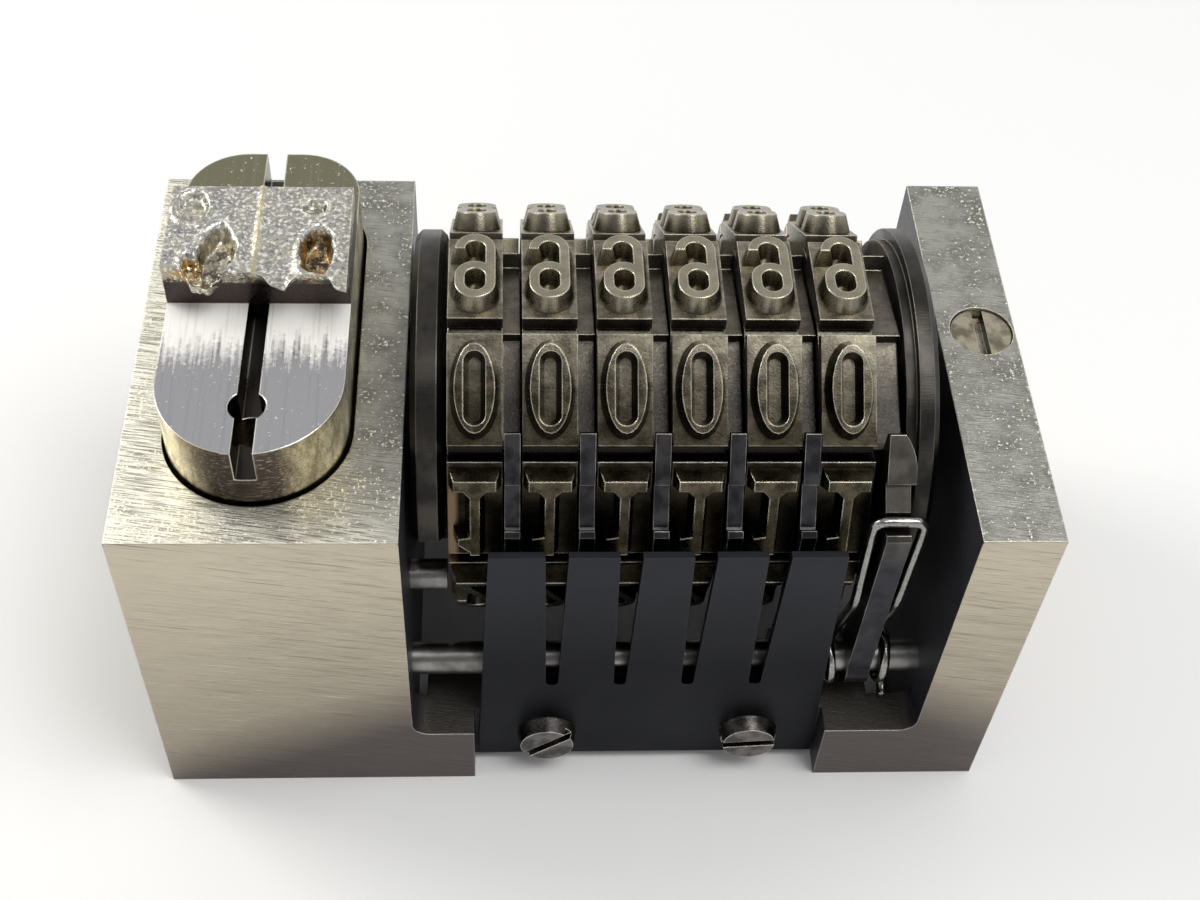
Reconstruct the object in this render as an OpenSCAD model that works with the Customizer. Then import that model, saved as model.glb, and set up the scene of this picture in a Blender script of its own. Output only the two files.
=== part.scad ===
// Letterpress numbering machine: six figure wheels in a milled steel case, turned one figure at a
// time by a sprung plunger that the press pushes down. Lengths are in millimetres.
// X runs along the line of figures, the comb spring is at the front (-Y), and Z = 0 is the foot.

/* [Case] */
// Width of the case, front to back
case_w = 20.9; // [20.7:0.1:23]
// Height of the case walls
case_h = 18.9; // [18.6:0.1:20]
// Height of the figure faces above the foot, which is type height
type_h = 23.32; // [23.2:0.02:23.6]
// Length of the solid block at the left that houses the plunger
block_l = 11.42; // [11.4:0.02:13]
// Thickness of the end wall at the right
end_wall = 3.44; // [3.3:0.02:4.5]
// Height of the low bars at the front and the back, as a share of the shaft's height
bar_share = 0.278; // [0.24:0.002:0.282]
// Thickness of the low bars
bar_t = 2; // [1.6:0.1:2.2]
// Fillet between a bar and a wall
bay_fillet = 0.8; // [0.4:0.1:1]
// Depth of the notch in the front bar that takes the comb spring
notch_depth = 1.3; // [1.2:0.05:1.4]
// Thickness of the front bar behind the notch, which is the thread length of the comb screws
seat_t = 2.2; // [1.8:0.1:2.6]

/* [Figure wheels] */
// Width of the figure blocks along the shaft
figure_block_w = 2.27; // [2.2:0.01:2.4]
// Width of a ratchet ring
ratchet_w = 0.725; // [0.7:0.005:0.9]
// Width of the units wheel's ratchet ring, which carries the wide pawl
units_ratchet_w = 1.2; // [1.15:0.05:1.4]
// End play between two wheels
wheel_play = 0.07; // [0.05:0.01:0.12]
// Distance of the shaft behind the front of the case
shaft_inset = 10.95; // [10.85:0.05:11.05]
// Distance from the shaft to the top of a figure block
block_apothem = 8.15; // [8.05:0.05:8.2]
// Length of a figure block round the wheel
figure_block_l = 4.58; // [4.3:0.02:4.7]
// Depth of the drum between the blocks, below their tops
drum_drop = 0.4; // [0.35:0.05:0.7]
// Height of the raised figures
relief = 0.77; // [0.6:0.01:0.8]
// Height of a figure
figure_h = 3.66; // [3.4:0.02:3.8]
// Width of a figure
figure_w = 1.66; // [1.5:0.02:1.8]
// Width of a figure's strokes
stroke = 0.4; // [0.34:0.02:0.46]
// Depth of the crests of the ratchet teeth below the tops of the blocks
crest_drop = 0.5; // [0.45:0.05:0.6]
// Depth of a ratchet tooth
tooth_h = 0.7; // [0.6:0.05:0.9]
// Depth of the deep tooth, which lets the next wheel carry
carry_tooth_h = 1.35; // [1.2:0.05:1.6]
// Diameter of the wheel shaft
shaft_d = 3.2; // [3:0.1:3.4]

/* [Swing] */
// Thickness of a swing arm
arm_t = 1.33; // [1.2:0.01:1.5]
// Depth of the left arm's rim below the tops of the blocks
left_arm_drop = 0.25; // [0.15:0.05:0.4]
// Depth of the right arm's rim below the tops of the blocks
right_arm_drop = 0.05; // [0:0.05:0.2]
// Depth of the step on the right arm's inner side below the tops of the blocks
right_step_drop = 0.55; // [0.4:0.05:0.8]
// Width of that step
right_step_w = 0.45; // [0.3:0.05:0.7]
// Bevel of the arms' rims
rim_bevel = 0.25; // [0.1:0.05:0.3]
// Gap between the left arm and the wall of the bay
arm_side_gap = 0.3; // [0.2:0.02:0.4]
// End play of the wheels against an arm
arm_play = 0.18; // [0.1:0.01:0.2]
// Gap between the figures as they turn and the sleeve on the swing bar
bar_gap = 0.3; // [0.2:0.05:0.5]
// Angle of the swing bar below the level of the shaft, at the back
bar_angle = 48; // [46:1:50]
// Diameter of the swing bar
swing_bar_d = 1.3; // [1.2:0.05:1.4]
// Angle that the swing turns through for one figure, a tooth and a little more
swing_angle = 38; // [37:0.5:40]
// Distance from the shaft to the drive stud
stud_reach = 3.38; // [3.3:0.02:3.5]
// Diameter of the drive stud
stud_d = 1.2; // [1.1:0.05:1.3]
// Diameter of the stop pin
stop_pin_d = 1.4; // [1.2:0.05:1.5]
// Depth of the stop pin's axis below the left arm's rim
stop_pin_drop = 0.3; // [0.2:0.05:0.5]
// Angle of the stop pin below the level of the shaft, at the front
stop_pin_angle = 33; // [32:1:34]

/* [Plunger] */
// Width of the plunger
plunger_w = 7.5; // [7.2:0.05:7.6]
// Radius of the plunger's corners at the back; its front is a half round
plunger_corner_r = 2.6; // [2.4:0.1:3.6]
// Gap between the plunger and its pocket
plunger_gap = 0.15; // [0.1:0.01:0.2]
// Height of the plunger's top above the case
plunger_rise = 3.1; // [2.9:0.05:3.3]
// Height of the plunger's body from foot to top
plunger_h = 13.6; // [13:0.1:14]
// Thickness of the wall between the pocket and the bay
pocket_wall = 2.02; // [1.9:0.02:2.2]
// Thickness of the wall in front of the pocket
pocket_front_wall = 1.8; // [1.6:0.05:2]
// Thickness of the wall behind the pocket
pocket_back_wall = 1.6; // [1.4:0.05:2]
// Height of the pocket's floor
pocket_floor = 2.2; // [1.8:0.1:2.6]
// Width of the saw cut in the plunger's top
saw_cut_w = 0.85; // [0.7:0.05:1]
// Depth of the saw cut
saw_cut_depth = 1.6; // [1.4:0.1:2]
// Diameter of the round hole on the saw cut
top_hole_d = 1.5; // [1.3:0.1:1.7]
// Depth of the round hole
top_hole_depth = 3.6; // [3:0.1:4]
// Distance of the round hole from the plunger's front
top_hole_inset = 2.45; // [2.3:0.05:2.8]
// Height of the raised slug
slug_h = 2.15; // [1.9:0.05:2.3]
// Length of the slug, front to back
slug_l = 4.7; // [4.4:0.1:5]
// Distance of the slug's front from the plunger's front
slug_inset = 8; // [7.8:0.1:8.2]
// Outer diameter of the plunger springs
spring_d = 3; // [2.8:0.1:3.1]
// Wire diameter of the plunger springs
spring_wire_d = 0.45; // [0.4:0.05:0.5]
// Number of turns of a plunger spring
spring_turns = 8; // [6:1:9]
// Depth of the spring bores in the plunger
spring_bore_depth = 4; // [3.5:0.1:4.2]
// Distance of a spring's axis from the plunger's end
spring_inset = 4.1; // [4:0.1:4.4]

/* [Pawls] */
// Diameter of the pawl rod
rod_d = 1.5; // [1.4:0.05:1.6]
// Distance of the pawl rod behind the front of the case
rod_inset = 2.7; // [2.65:0.05:2.75]
// Height of the pawl rod, as a share of the shaft's height
rod_share = 0.4375; // [0.43:0.0025:0.45]
// Thickness of a narrow pawl
pawl_t = 0.64; // [0.58:0.02:0.66]
// Thickness of the wide pawl
wide_pawl_t = 1.04; // [0.96:0.02:1.06]
// Gap between the wide pawl and the figure block beside it
wide_pawl_gap = 0.42; // [0.4:0.01:0.44]
// Width of the wide pawl's head
wide_head_w = 1.2; // [1.1:0.02:1.24]
// Radius of a pawl's hub
hub_r = 1.25; // [1.2:0.01:1.28]
// Gap between a pawl's arm and the comb finger in front of it
finger_gap = 0.52; // [0.5:0.01:0.6]
// Height of the shoulder of a narrow pawl's arm above the shaft
pawl_shoulder = 2.5; // [2.4:0.05:2.6]
// Height of the shoulder of the wide pawl's arm above the shaft
wide_shoulder = 2.85; // [2.75:0.05:2.9]
// Depth of a narrow pawl's shoulder, from the arm's front to the neck
shoulder_depth = 0.6; // [0.5:0.05:0.7]
// The same on the wide pawl
wide_shoulder_depth = 1.05; // [1:0.05:1.1]
// Height of the narrow pawls' heads above the crests of the ratchets
head_h = 1.05; // [0.95:0.05:1.15]
// Height of the wide pawl's head above the crests
wide_head_h = 1.35; // [1.25:0.05:1.45]
// Angle of a head's upper end above the level of the shaft
head_high = 42; // [41:0.5:43]
// Angle of the lower end of a narrow pawl's head
head_low = 27.5; // [26:0.5:28]
// Angle of the lower end of the wide pawl's head
wide_head_low = 28.5; // [28:0.5:29.5]
// Gap between a pawl's nose and the crests of its ratchet
nose_gap = 0.06; // [0.05:0.01:0.1]

/* [Wire springs] */
// Wire diameter of the wide pawl's spring
loop_wire_d = 0.48; // [0.4:0.02:0.5]
// Distance between the two legs of the wide pawl's spring where they leave its coils
loop_w = 1.82; // [1.8:0.01:1.86]
// How far the left and the right leg have spread at the top of the loop
loop_spread = [0.04, 0.28]; // [0:0.02:0.3]
// Height of the loop's cross wire above the shoulder of the wide pawl
loop_rise = 0.18; // [0.15:0.01:0.25]
// Wire diameter of the drive pawl's spring
drive_wire_d = 0.36; // [0.3:0.02:0.4]
// Turns of the drive pawl's spring
drive_turns = 4; // [3:1:4]

/* [Comb spring] */
// Thickness of the comb's leaf
leaf_t = 0.35; // [0.3:0.01:0.4]
// Height of the finger tips above the shaft
tip_rise = 2.1; // [1.9:0.05:2.2]
// Height of the slots' round ends above the pawl rod
slot_end_rise = 0.35; // [0:0.05:0.7]
// Width of a slot at the tips
slot_tip_w = 1; // [0.9:0.05:1.1]
// Width of a slot at its round end
slot_end_w = 0.56; // [0.5:0.02:0.6]
// Distance from the middle of an outer slot to the side of the comb, at the tips
outer_tip_w = 2.82; // [2.7:0.02:2.9]
// The same at the comb's foot
outer_foot_w = 3.37; // [3.3:0.01:3.4]
// Distance of the comb to the right of the wheels' middle
comb_shift = 0.3; // [0.2:0.05:0.4]
// Height of the comb's lower edge
comb_foot_z = 0.6; // [0.2:0.05:0.7]
// Clearance between the comb's foot and the ends of its notch
comb_side_gap = 0.15; // [0.1:0.05:0.2]
// Distance between the two comb screws
comb_screw_spacing = 9.5; // [9.2:0.05:9.7]
// Height of the comb screws, as a share of the bar's height
comb_screw_share = 0.625; // [0.58:0.005:0.635]
// Head diameter of the comb screws
comb_head_d = 2.75; // [2.6:0.05:2.9]
// Head height of the comb screws
comb_head_h = 0.75; // [0.6:0.05:0.8]
// Thread diameter of the comb screws
comb_thread_d = 1.4; // [1.2:0.1:1.6]

/* [Shaft lock] */
// Head diameter of the lock screw
lock_head_d = 2.7; // [2.5:0.05:2.8]
// Head height of the lock screw
lock_head_h = 1.3; // [1.1:0.1:1.4]
// Shank diameter of the lock screw
lock_shank_d = 1.6; // [1.4:0.1:1.8]
// Distance of the lock screw from the right end of the case
lock_inset = 1.5; // [1.5:0.05:1.7]
// Distance of the lock screw behind the shaft's axis
lock_offset = 0.55; // [0.3:0.05:0.6]
// Depth of the lock screw's seat in the shaft
lock_bite = 0.6; // [0.4:0.05:0.8]

/* [Hidden] */
$fn = 48;

wheels = 6;
figures = 10;
comb_slots = wheels - 2;
step = 360 / figures;
fit = 0.01;         // radial gap of pins and screws in their holes
running = 0.05;     // radial gap of turning bores
cut = 1;            // how far a cutter runs past a face
wall_seat = 1.6;    // depth of the blind holes in the pocket's wall
bite = 0.2;         // how far a raised form goes into what carries it

// places along X, stacked from the wheels outwards
wheel_w = figure_block_w + ratchet_w;
wheel_pitch = wheel_w + wheel_play;
stack_l = (wheels - 1) * wheel_pitch + figure_block_w + units_ratchet_w;
collar_l = 1;
collar_play = 0.125;
bay_l = arm_side_gap + arm_t + arm_play + stack_l + arm_play + arm_t + collar_l + collar_play;
case_l = block_l + bay_l + end_wall;
case_left = -case_l / 2;
case_right = case_l / 2;
bay_left = case_left + block_l;
bay_right = bay_left + bay_l;
left_arm_x = bay_left + arm_side_gap;
stack_x = left_arm_x + arm_t + arm_play;
right_arm_x = stack_x + stack_l + arm_play;
wheels_mid_x = wheel_x(0) + (wheels - 1) * wheel_pitch / 2;

// places in Y and Z
front_y = -case_w / 2;
back_y = case_w / 2;
shaft_y = front_y + shaft_inset;
shaft_z = type_h - relief - block_apothem;
bar_h = shaft_z * bar_share;
rod_z = shaft_z * rod_share;
slot_end_z = rod_z + slot_end_rise;
comb_screw_z = bar_h * comb_screw_share;
drum_r = block_apothem - drum_drop;
crest_r = block_apothem - crest_drop;
root_r = crest_r - tooth_h;
carry_root_r = crest_r - carry_tooth_h;
left_arm_r = block_apothem - left_arm_drop;
right_arm_r = block_apothem - right_arm_drop;
right_step_r = block_apothem - right_step_drop;
figure_sweep_r = norm([block_apothem + relief, figure_h / 2]);
sleeve_r = 1.1;
bar_reach = figure_sweep_r + bar_gap + sleeve_r;
swing_sweep_r = bar_reach + sleeve_r + bar_gap;
stop_pin_reach = left_arm_r - stop_pin_drop;
tip_z = shaft_z + tip_rise;
comb_tip_w = (comb_slots - 1) * wheel_pitch + 2 * outer_tip_w;
comb_foot_w = (comb_slots - 1) * wheel_pitch + 2 * outer_foot_w;
rod_y = front_y + rod_inset;
leaf_y = front_y + notch_depth;
comb_x = wheels_mid_x + comb_shift;
notch_w = comb_foot_w + 2 * comb_side_gap;
bar_y = shaft_y + bar_reach * cos(bar_angle);
bar_z = shaft_z - bar_reach * sin(bar_angle);
stud_y = shaft_y + stud_reach * cos(swing_angle / 2);
stud_z = shaft_z + stud_reach * sin(swing_angle / 2);
stop_y = shaft_y - stop_pin_reach * cos(stop_pin_angle);
stop_z = shaft_z - stop_pin_reach * sin(stop_pin_angle);
travel = 2 * stud_reach * sin(swing_angle / 2);

// the plunger and its pocket
pocket_w = plunger_w + 2 * plunger_gap;
pocket_l = case_w - pocket_front_wall - pocket_back_wall;
plunger_l = pocket_l - 2 * plunger_gap;
plunger_y = front_y + pocket_front_wall + pocket_l / 2;
plunger_x = bay_left - pocket_wall - pocket_w / 2;
plunger_side_x = plunger_x + plunger_w / 2;
plunger_top = case_h + plunger_rise;
plunger_foot = plunger_top - plunger_h;
plunger_front = plunger_y - plunger_l / 2;
spring_reach = plunger_l / 2 - spring_inset;
groove_depth = 1;
groove_gap = 0.06;
stud_end_gap = 0.25;
stud_stop_gap = 0.05;   // the stud stops against the ends of the window in the pocket's wall
spring_top = plunger_foot + spring_bore_depth;
spring_bore_d = spring_d + 0.4;
lock_x = case_right - lock_inset;
lock_y = shaft_y + lock_offset;

function wheel_x(i) = stack_x + figure_block_w / 2 + i * wheel_pitch;
function gap_x(i) = wheel_x(i) + figure_block_w / 2;
function gap_w(i) = i == wheels - 1 ? units_ratchet_w : ratchet_w + wheel_play;
// a point in Y and Z at radius r about the shaft, a degrees above its level at the front
function front_point(r, a) = [shaft_y - r * cos(a), shaft_z + r * sin(a)];

// ---- common shapes

// a profile drawn in Y and Z, extruded along X
module along_x(x, length) {
    translate([x, 0, 0]) rotate([90, 0, 90]) linear_extrude(length) children();
}

module rod_x(x, length, y, z, d) {
    translate([x, y, z]) rotate([0, 90, 0]) cylinder(h = length, d = d);
}

// an outline with round ends, w wide along its first axis and l long along its second
module obround(w, l) {
    square([w, l - w], center = true);
    for (side = [-1, 1]) translate([0, side * (l - w) / 2]) circle(d = w);
}

// the plunger's outline: a half round at the front and two round corners at the back
module plunger_outline(w, l, corner) {
    translate([0, w / 2 - l / 2]) circle(d = w);
    translate([-w / 2, w / 2 - l / 2]) square([w, l - w / 2 - corner]);
    translate([corner - w / 2, l / 2 - 2 * corner]) square([w - 2 * corner, 2 * corner]);
    for (side = [-1, 1]) translate([side * (w / 2 - corner), l / 2 - corner]) circle(r = corner);
}

// a ring with round ends, for the bowls of the figures
module bowl(w, l) {
    difference() {
        obround(w, l);
        obround(w - 2 * stroke, l - 2 * stroke);
    }
}

function unit(v) = v / norm(v);
function tangent(p, i) = unit(p[min(i + 1, len(p) - 1)] - p[max(i - 1, 0)]);
function across(v, t) = unit(v - (v * t) * t);
// the direction that a wire's section faces at each point, carried along without twist
function carried(p, n, i = 0) =
    i == len(p) ? [] :
    let (v = across(n, tangent(p, i))) concat([v], carried(p, v, i + 1));

// a round wire through the points p; n is any direction across its first stretch
module wire(p, d, n, sides = 6) {
    normals = carried(p, n);
    rings = [for (i = [0:len(p) - 1])
        let (t = tangent(p, i), u = normals[i], v = cross(t, u))
        [for (k = [0:sides - 1]) p[i] + d / 2 * (cos(k * 360 / sides) * u + sin(k * 360 / sides) * v)]];
    polyhedron(
        points = [for (ring = rings) each ring],
        faces = concat(
            [[for (k = [sides - 1:-1:0]) k]],
            [for (i = [0:len(p) - 2], k = [0:sides - 1])
                let (a = i * sides + k, b = i * sides + (k + 1) % sides)
                each [[a, b, b + sides], [a, b + sides, a + sides]]],
            [[for (k = [0:sides - 1]) (len(p) - 1) * sides + k]]
        ),
        convexity = 6
    );
}

// ---- the case

module bay_profile() {
    rise = case_h;
    translate([bay_left, bar_h + bay_fillet]) square([bay_l, rise]);
    translate([bay_left + bay_fillet, bar_h]) square([bay_l - 2 * bay_fillet, rise]);
    for (x = [bay_left + bay_fillet, bay_right - bay_fillet])
        translate([x, bar_h + bay_fillet]) circle(r = bay_fillet);
}

module bay() {
    translate([0, back_y + cut, 0]) rotate([90, 0, 0])
        linear_extrude(case_w + 2 * cut) bay_profile();
    difference() {
        translate([bay_left, front_y + bar_t, -cut])
            cube([bay_l, case_w - 2 * bar_t, bar_h + 2 * cut]);
        translate([comb_x - notch_w / 2 - seat_t, front_y, -2 * cut])
            cube([notch_w + 2 * seat_t, notch_depth + seat_t, bar_h + 2 * cut]);
    }
}

module pocket() {
    translate([plunger_x, plunger_y, pocket_floor])
        linear_extrude(case_h) plunger_outline(pocket_w, pocket_l, plunger_corner_r + plunger_gap);
    // the window in the pocket's wall through which the drive stud reaches the plunger
    along_x(bay_left - pocket_wall - pocket_w / 4, pocket_wall + pocket_w / 4 + cut)
        translate([shaft_y + stud_reach * (1 + cos(swing_angle / 2)) / 2, shaft_z])
            obround(stud_d + 0.6, travel + stud_d + 2 * stud_stop_gap);
}

module case_frame() {
    color("#b8b4ab")
    difference() {
        translate([case_left, front_y, 0]) cube([case_l, case_w, case_h]);
        bay();
        pocket();
        // notch for the comb and the holes of its screws
        translate([comb_x - notch_w / 2, front_y - cut, -cut])
            cube([notch_w, notch_depth + cut, bar_h + 2 * cut]);
        for (side = [-1, 1])
            translate([comb_x + side * comb_screw_spacing / 2, front_y, comb_screw_z])
                rotate([-90, 0, 0]) cylinder(h = notch_depth + seat_t + cut, d = comb_thread_d + 2 * fit);
        // holes for the shaft, the pawl rod and the stop pin
        rod_x(bay_left - wall_seat, case_l, shaft_y, shaft_z, shaft_d + 2 * fit);
        rod_x(bay_left - wall_seat, case_l, rod_y, rod_z, rod_d + 2 * fit);
        rod_x(bay_left - wall_seat, wall_seat + cut, stop_y, stop_z, stop_pin_d + 2 * fit);
        lock_seat();
        translate([lock_x, lock_y, shaft_z]) cylinder(h = case_h, d = lock_shank_d + 2 * fit);
        // the bars keep clear of the swing's sweep
        rod_x(bay_left, bay_l, shaft_y, shaft_z, 2 * swing_sweep_r);
    }
}

// the counterbore of the lock screw, which also cuts the shaft where the shaft stands high
module lock_seat() {
    translate([lock_x, lock_y, case_h - lock_head_h - fit])
        cylinder(h = lock_head_h + cut, d = lock_head_d + 0.1);
}

module wheel_shaft() {
    length = case_right - bay_left + wall_seat - 0.4;
    color("#8e8c88")
    difference() {
        rod_x(bay_left - wall_seat, length, shaft_y, shaft_z, shaft_d);
        translate([lock_x, lock_y, shaft_z + shaft_d / 2 - lock_bite])
            cylinder(h = shaft_d, d = lock_shank_d + 2 * fit);
        lock_seat();
    }
}

module shaft_lock_screw() {
    shank_foot = shaft_z + shaft_d / 2 - lock_bite;
    head_foot = case_h - lock_head_h;
    slot_w = 0.5;
    slot_depth = 0.6;
    color("#a9a59b")
    translate([lock_x, lock_y, 0])
    difference() {
        union() {
            translate([0, 0, head_foot]) cylinder(h = lock_head_h - 0.1, d = lock_head_d);
            translate([0, 0, shank_foot]) cylinder(h = head_foot - shank_foot + bite, d = lock_shank_d);
        }
        translate([-slot_w / 2, -lock_head_d, case_h - slot_depth])
            cube([slot_w, 2 * lock_head_d, slot_depth + cut]);
    }
}

module spacer_collar() {
    wall = 1.4;
    color("#77736c")
    difference() {
        rod_x(right_arm_x + arm_t + collar_play / 2, collar_l, shaft_y, shaft_z, shaft_d + 2 * wall);
        rod_x(right_arm_x, 2 * arm_t + collar_l, shaft_y, shaft_z, shaft_d + 2 * fit);
    }
}

module pawl_rod() {
    length = case_right - bay_left + wall_seat - 0.3;
    color("#7d7b78") rod_x(bay_left - wall_seat, length, rod_y, rod_z, rod_d);
}

module stop_pin() {
    color("#7d7b78")
        rod_x(bay_left - wall_seat, wall_seat + arm_side_gap + arm_t, stop_y, stop_z, stop_pin_d);
}

// ---- the comb spring and its screws

module comb_outline() {
    slot_top = tip_z + cut;
    difference() {
        polygon([
            [-comb_foot_w / 2, comb_foot_z], [comb_foot_w / 2, comb_foot_z],
            [comb_tip_w / 2, tip_z], [-comb_tip_w / 2, tip_z]
        ]);
        for (i = [1:comb_slots]) translate([wheel_x(i) - wheels_mid_x, 0]) {
            translate([0, slot_end_z + slot_end_w / 2]) circle(d = slot_end_w);
            polygon([
                [-slot_end_w / 2, slot_end_z + slot_end_w / 2],
                [slot_end_w / 2, slot_end_z + slot_end_w / 2],
                [slot_tip_w / 2, slot_top], [-slot_tip_w / 2, slot_top]
            ]);
        }
        for (side = [-1, 1]) translate([side * comb_screw_spacing / 2, comb_screw_z])
            circle(d = comb_thread_d + 0.1);
    }
}

module comb_spring() {
    color("#2f3034")
        translate([comb_x, leaf_y, 0]) rotate([90, 0, 0]) linear_extrude(leaf_t) comb_outline();
}

module comb_screws() {
    slot_w = 0.45;
    slot_depth = 0.35;
    slot_turns = [40, 5];
    color("#8b8986")
    for (i = [0:1])
        translate([comb_x + (i - 0.5) * comb_screw_spacing, leaf_y - leaf_t, comb_screw_z])
            rotate([90, 0, 0])
                difference() {
                    union() {
                        cylinder(h = comb_head_h, d1 = comb_head_d, d2 = comb_head_d - 0.3);
                        translate([0, 0, -leaf_t - seat_t])
                            cylinder(h = leaf_t + seat_t + bite, d = comb_thread_d);
                    }
                    rotate(slot_turns[i])
                        translate([-comb_head_d, -slot_w / 2, comb_head_h - slot_depth])
                            cube([2 * comb_head_d, slot_w, slot_depth + cut]);
                }
}

// ---- the plunger

module plunger() {
    color("#c3bfb4")
    difference() {
        translate([plunger_x, plunger_y, plunger_foot])
            linear_extrude(plunger_h) plunger_outline(plunger_w, plunger_l, plunger_corner_r);
        translate([plunger_x - saw_cut_w / 2, -plunger_l, plunger_top - saw_cut_depth])
            cube([saw_cut_w, 2 * plunger_l, saw_cut_depth + cut]);
        translate([plunger_x, plunger_front + top_hole_inset, plunger_top - top_hole_depth])
            cylinder(h = top_hole_depth + cut, d = top_hole_d);
        for (side = [-1, 1])
            translate([plunger_x, plunger_y + side * spring_reach, plunger_foot - cut])
                cylinder(h = spring_bore_depth + cut, d = spring_bore_d);
        // the groove that takes the drive stud
        translate([plunger_side_x - groove_depth, stud_y - stud_d, stud_z - stud_d / 2 - groove_gap])
            cube([groove_depth + cut, 2 * stud_d, stud_d + 2 * groove_gap]);
    }
}

// a type block with a tongue in the saw cut; its face is bare
module plunger_slug() {
    slug_y = plunger_front + slug_inset;
    tongue_w = saw_cut_w - 0.06;
    tongue_depth = saw_cut_depth - 0.1;
    color("#c9c4b4")
    translate([plunger_x, slug_y, plunger_top]) {
        translate([-plunger_w / 2, 0, 0]) cube([plunger_w, slug_l, slug_h]);
        translate([-tongue_w / 2, 0, -tongue_depth]) cube([tongue_w, slug_l, tongue_depth + bite]);
    }
}

module plunger_spring(y) {
    turn_points = 14;
    end_gap = 0.03;
    low = pocket_floor + spring_wire_d / 2 + end_gap;
    high = spring_top - spring_wire_d / 2 - end_gap;
    radius = (spring_d - spring_wire_d) / 2;
    count = spring_turns * turn_points;
    color("#6f6d6a")
    translate([plunger_x, y, 0])
        wire([for (i = [0:count])
            let (a = i * 360 / turn_points)
            [radius * cos(a), radius * sin(a), low + (high - low) * i / count]],
            spring_wire_d, [1, 0, 0]);
}

module plunger_spring_front() plunger_spring(plunger_y - spring_reach);
module plunger_spring_rear() plunger_spring(plunger_y + spring_reach);

// ---- the swing

// a plate turned to the half profile of the children, with an ear that carries the swing bar
module swing_arm(x) {
    ear_r = 1.5;
    difference() {
        union() {
            translate([x, shaft_y, shaft_z]) rotate([0, 90, 0]) rotate_extrude() children();
            along_x(x, arm_t) translate([shaft_y, shaft_z]) rotate(-bar_angle) {
                translate([bar_reach / 2, -ear_r]) square([bar_reach / 2, 2 * ear_r]);
                translate([bar_reach, 0]) circle(r = ear_r);
            }
        }
        rod_x(x - cut, arm_t + 2 * cut, shaft_y, shaft_z, shaft_d + 2 * running);
        rod_x(x - cut, arm_t + 2 * cut, bar_y, bar_z, swing_bar_d + 2 * fit);
    }
}

// the left arm is cut back at its lower front, where it swings past the stop pin
module left_swing_arm() {
    cut_r = 5.6;
    cut_top = 3;
    stop_gap = 0.4;
    cut_low = -swing_angle - stop_pin_angle - asin(stop_pin_d / 2 / stop_pin_reach) - stop_gap;
    reach = 2 * left_arm_r;
    color("#4a4846")
    difference() {
        swing_arm(left_arm_x)
            polygon([
                [0, 0], [left_arm_r - rim_bevel, 0], [left_arm_r, rim_bevel],
                [left_arm_r, arm_t - rim_bevel], [left_arm_r - rim_bevel, arm_t], [0, arm_t]
            ]);
        along_x(left_arm_x - cut, arm_t + 2 * cut) translate([shaft_y, shaft_z])
            difference() {
                polygon(concat([[0, 0]], [for (a = [cut_top, (cut_top + cut_low) / 2, cut_low])
                    [-reach * cos(a), reach * sin(a)]]));
                circle(r = cut_r);
            }
        rod_x(left_arm_x - cut, arm_t + 2 * cut, stud_y, stud_z, stud_d + 2 * fit);
    }
}

module right_swing_arm() {
    color("#454341")
        swing_arm(right_arm_x)
            polygon([
                [0, 0], [right_step_r, 0], [right_step_r, right_step_w],
                [right_arm_r, right_step_w], [right_arm_r, arm_t - rim_bevel],
                [right_arm_r - rim_bevel, arm_t], [0, arm_t]
            ]);
}

module swing_bar() {
    color("#7a7774")
        rod_x(left_arm_x + 0.1, right_arm_x + arm_t - left_arm_x - 0.2, bar_y, bar_z, swing_bar_d);
}

module drive_stud() {
    from = plunger_side_x - groove_depth + stud_end_gap;
    to = left_arm_x + arm_t - 0.1;
    color("#7a7774") rod_x(from, to - from, stud_y, stud_z, stud_d);
}

// ---- the drive pawl: a sleeve on the swing bar, a back plate and one stepped finger a wheel

plate_top = -2.6;       // height of the back plate's edge above the shaft
finger_top = 1.25;      // height of the fingers above the shaft
finger_x = figure_sweep_r + 0.4;    // reach of the fingers behind the shaft
plate_clear_r = figure_sweep_r + 0.15;
finger_step = 0.08;     // each finger is this much shorter than the one to its right
drive_pitch = drive_wire_d + 0.06;
drive_spring_x = left_arm_x + arm_t + 0.1 + drive_wire_d / 2;
sleeve_left = drive_spring_x + drive_turns * drive_pitch + drive_wire_d / 2 + 0.09;
sleeve_right = right_arm_x - arm_play;
bar_back = bar_y - shaft_y;         // the bar's place from the shaft
bar_up = bar_z - shaft_z;

function finger_w(i) = gap_w(i) - 0.18;

module back_plate_outline() {
    plate_w = 2;
    difference() {
        polygon([
            [bar_back - sleeve_r, bar_up], [bar_back + sleeve_r, bar_up],
            [finger_x, plate_top], [finger_x - plate_w, plate_top]
        ]);
        circle(r = plate_clear_r);
        translate([bar_back, bar_up]) circle(d = swing_bar_d + 2 * running);
    }
}

// the nose is a hook whose flat underside pushes a tooth down
module finger_outline(tip_r) {
    tip_low = 2;        // angles of the tip's corners above the level of the shaft
    tip_high = 9;
    inner = finger_x - 1.15;
    difference() {
        polygon([
            [bar_back - 0.5, bar_up], [bar_back + sleeve_r, bar_up],
            [finger_x, plate_top], [finger_x, finger_top], [finger_x - 0.9, finger_top + 0.1],
            [tip_r * cos(tip_high), tip_r * sin(tip_high)], [tip_r * cos(tip_low), tip_r * sin(tip_low)],
            [inner, 0.2], [inner, plate_top + 0.8], [inner - 0.75, plate_top - 2.4]
        ]);
        translate([bar_back, bar_up]) circle(d = swing_bar_d + 2 * running);
    }
}

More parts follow.
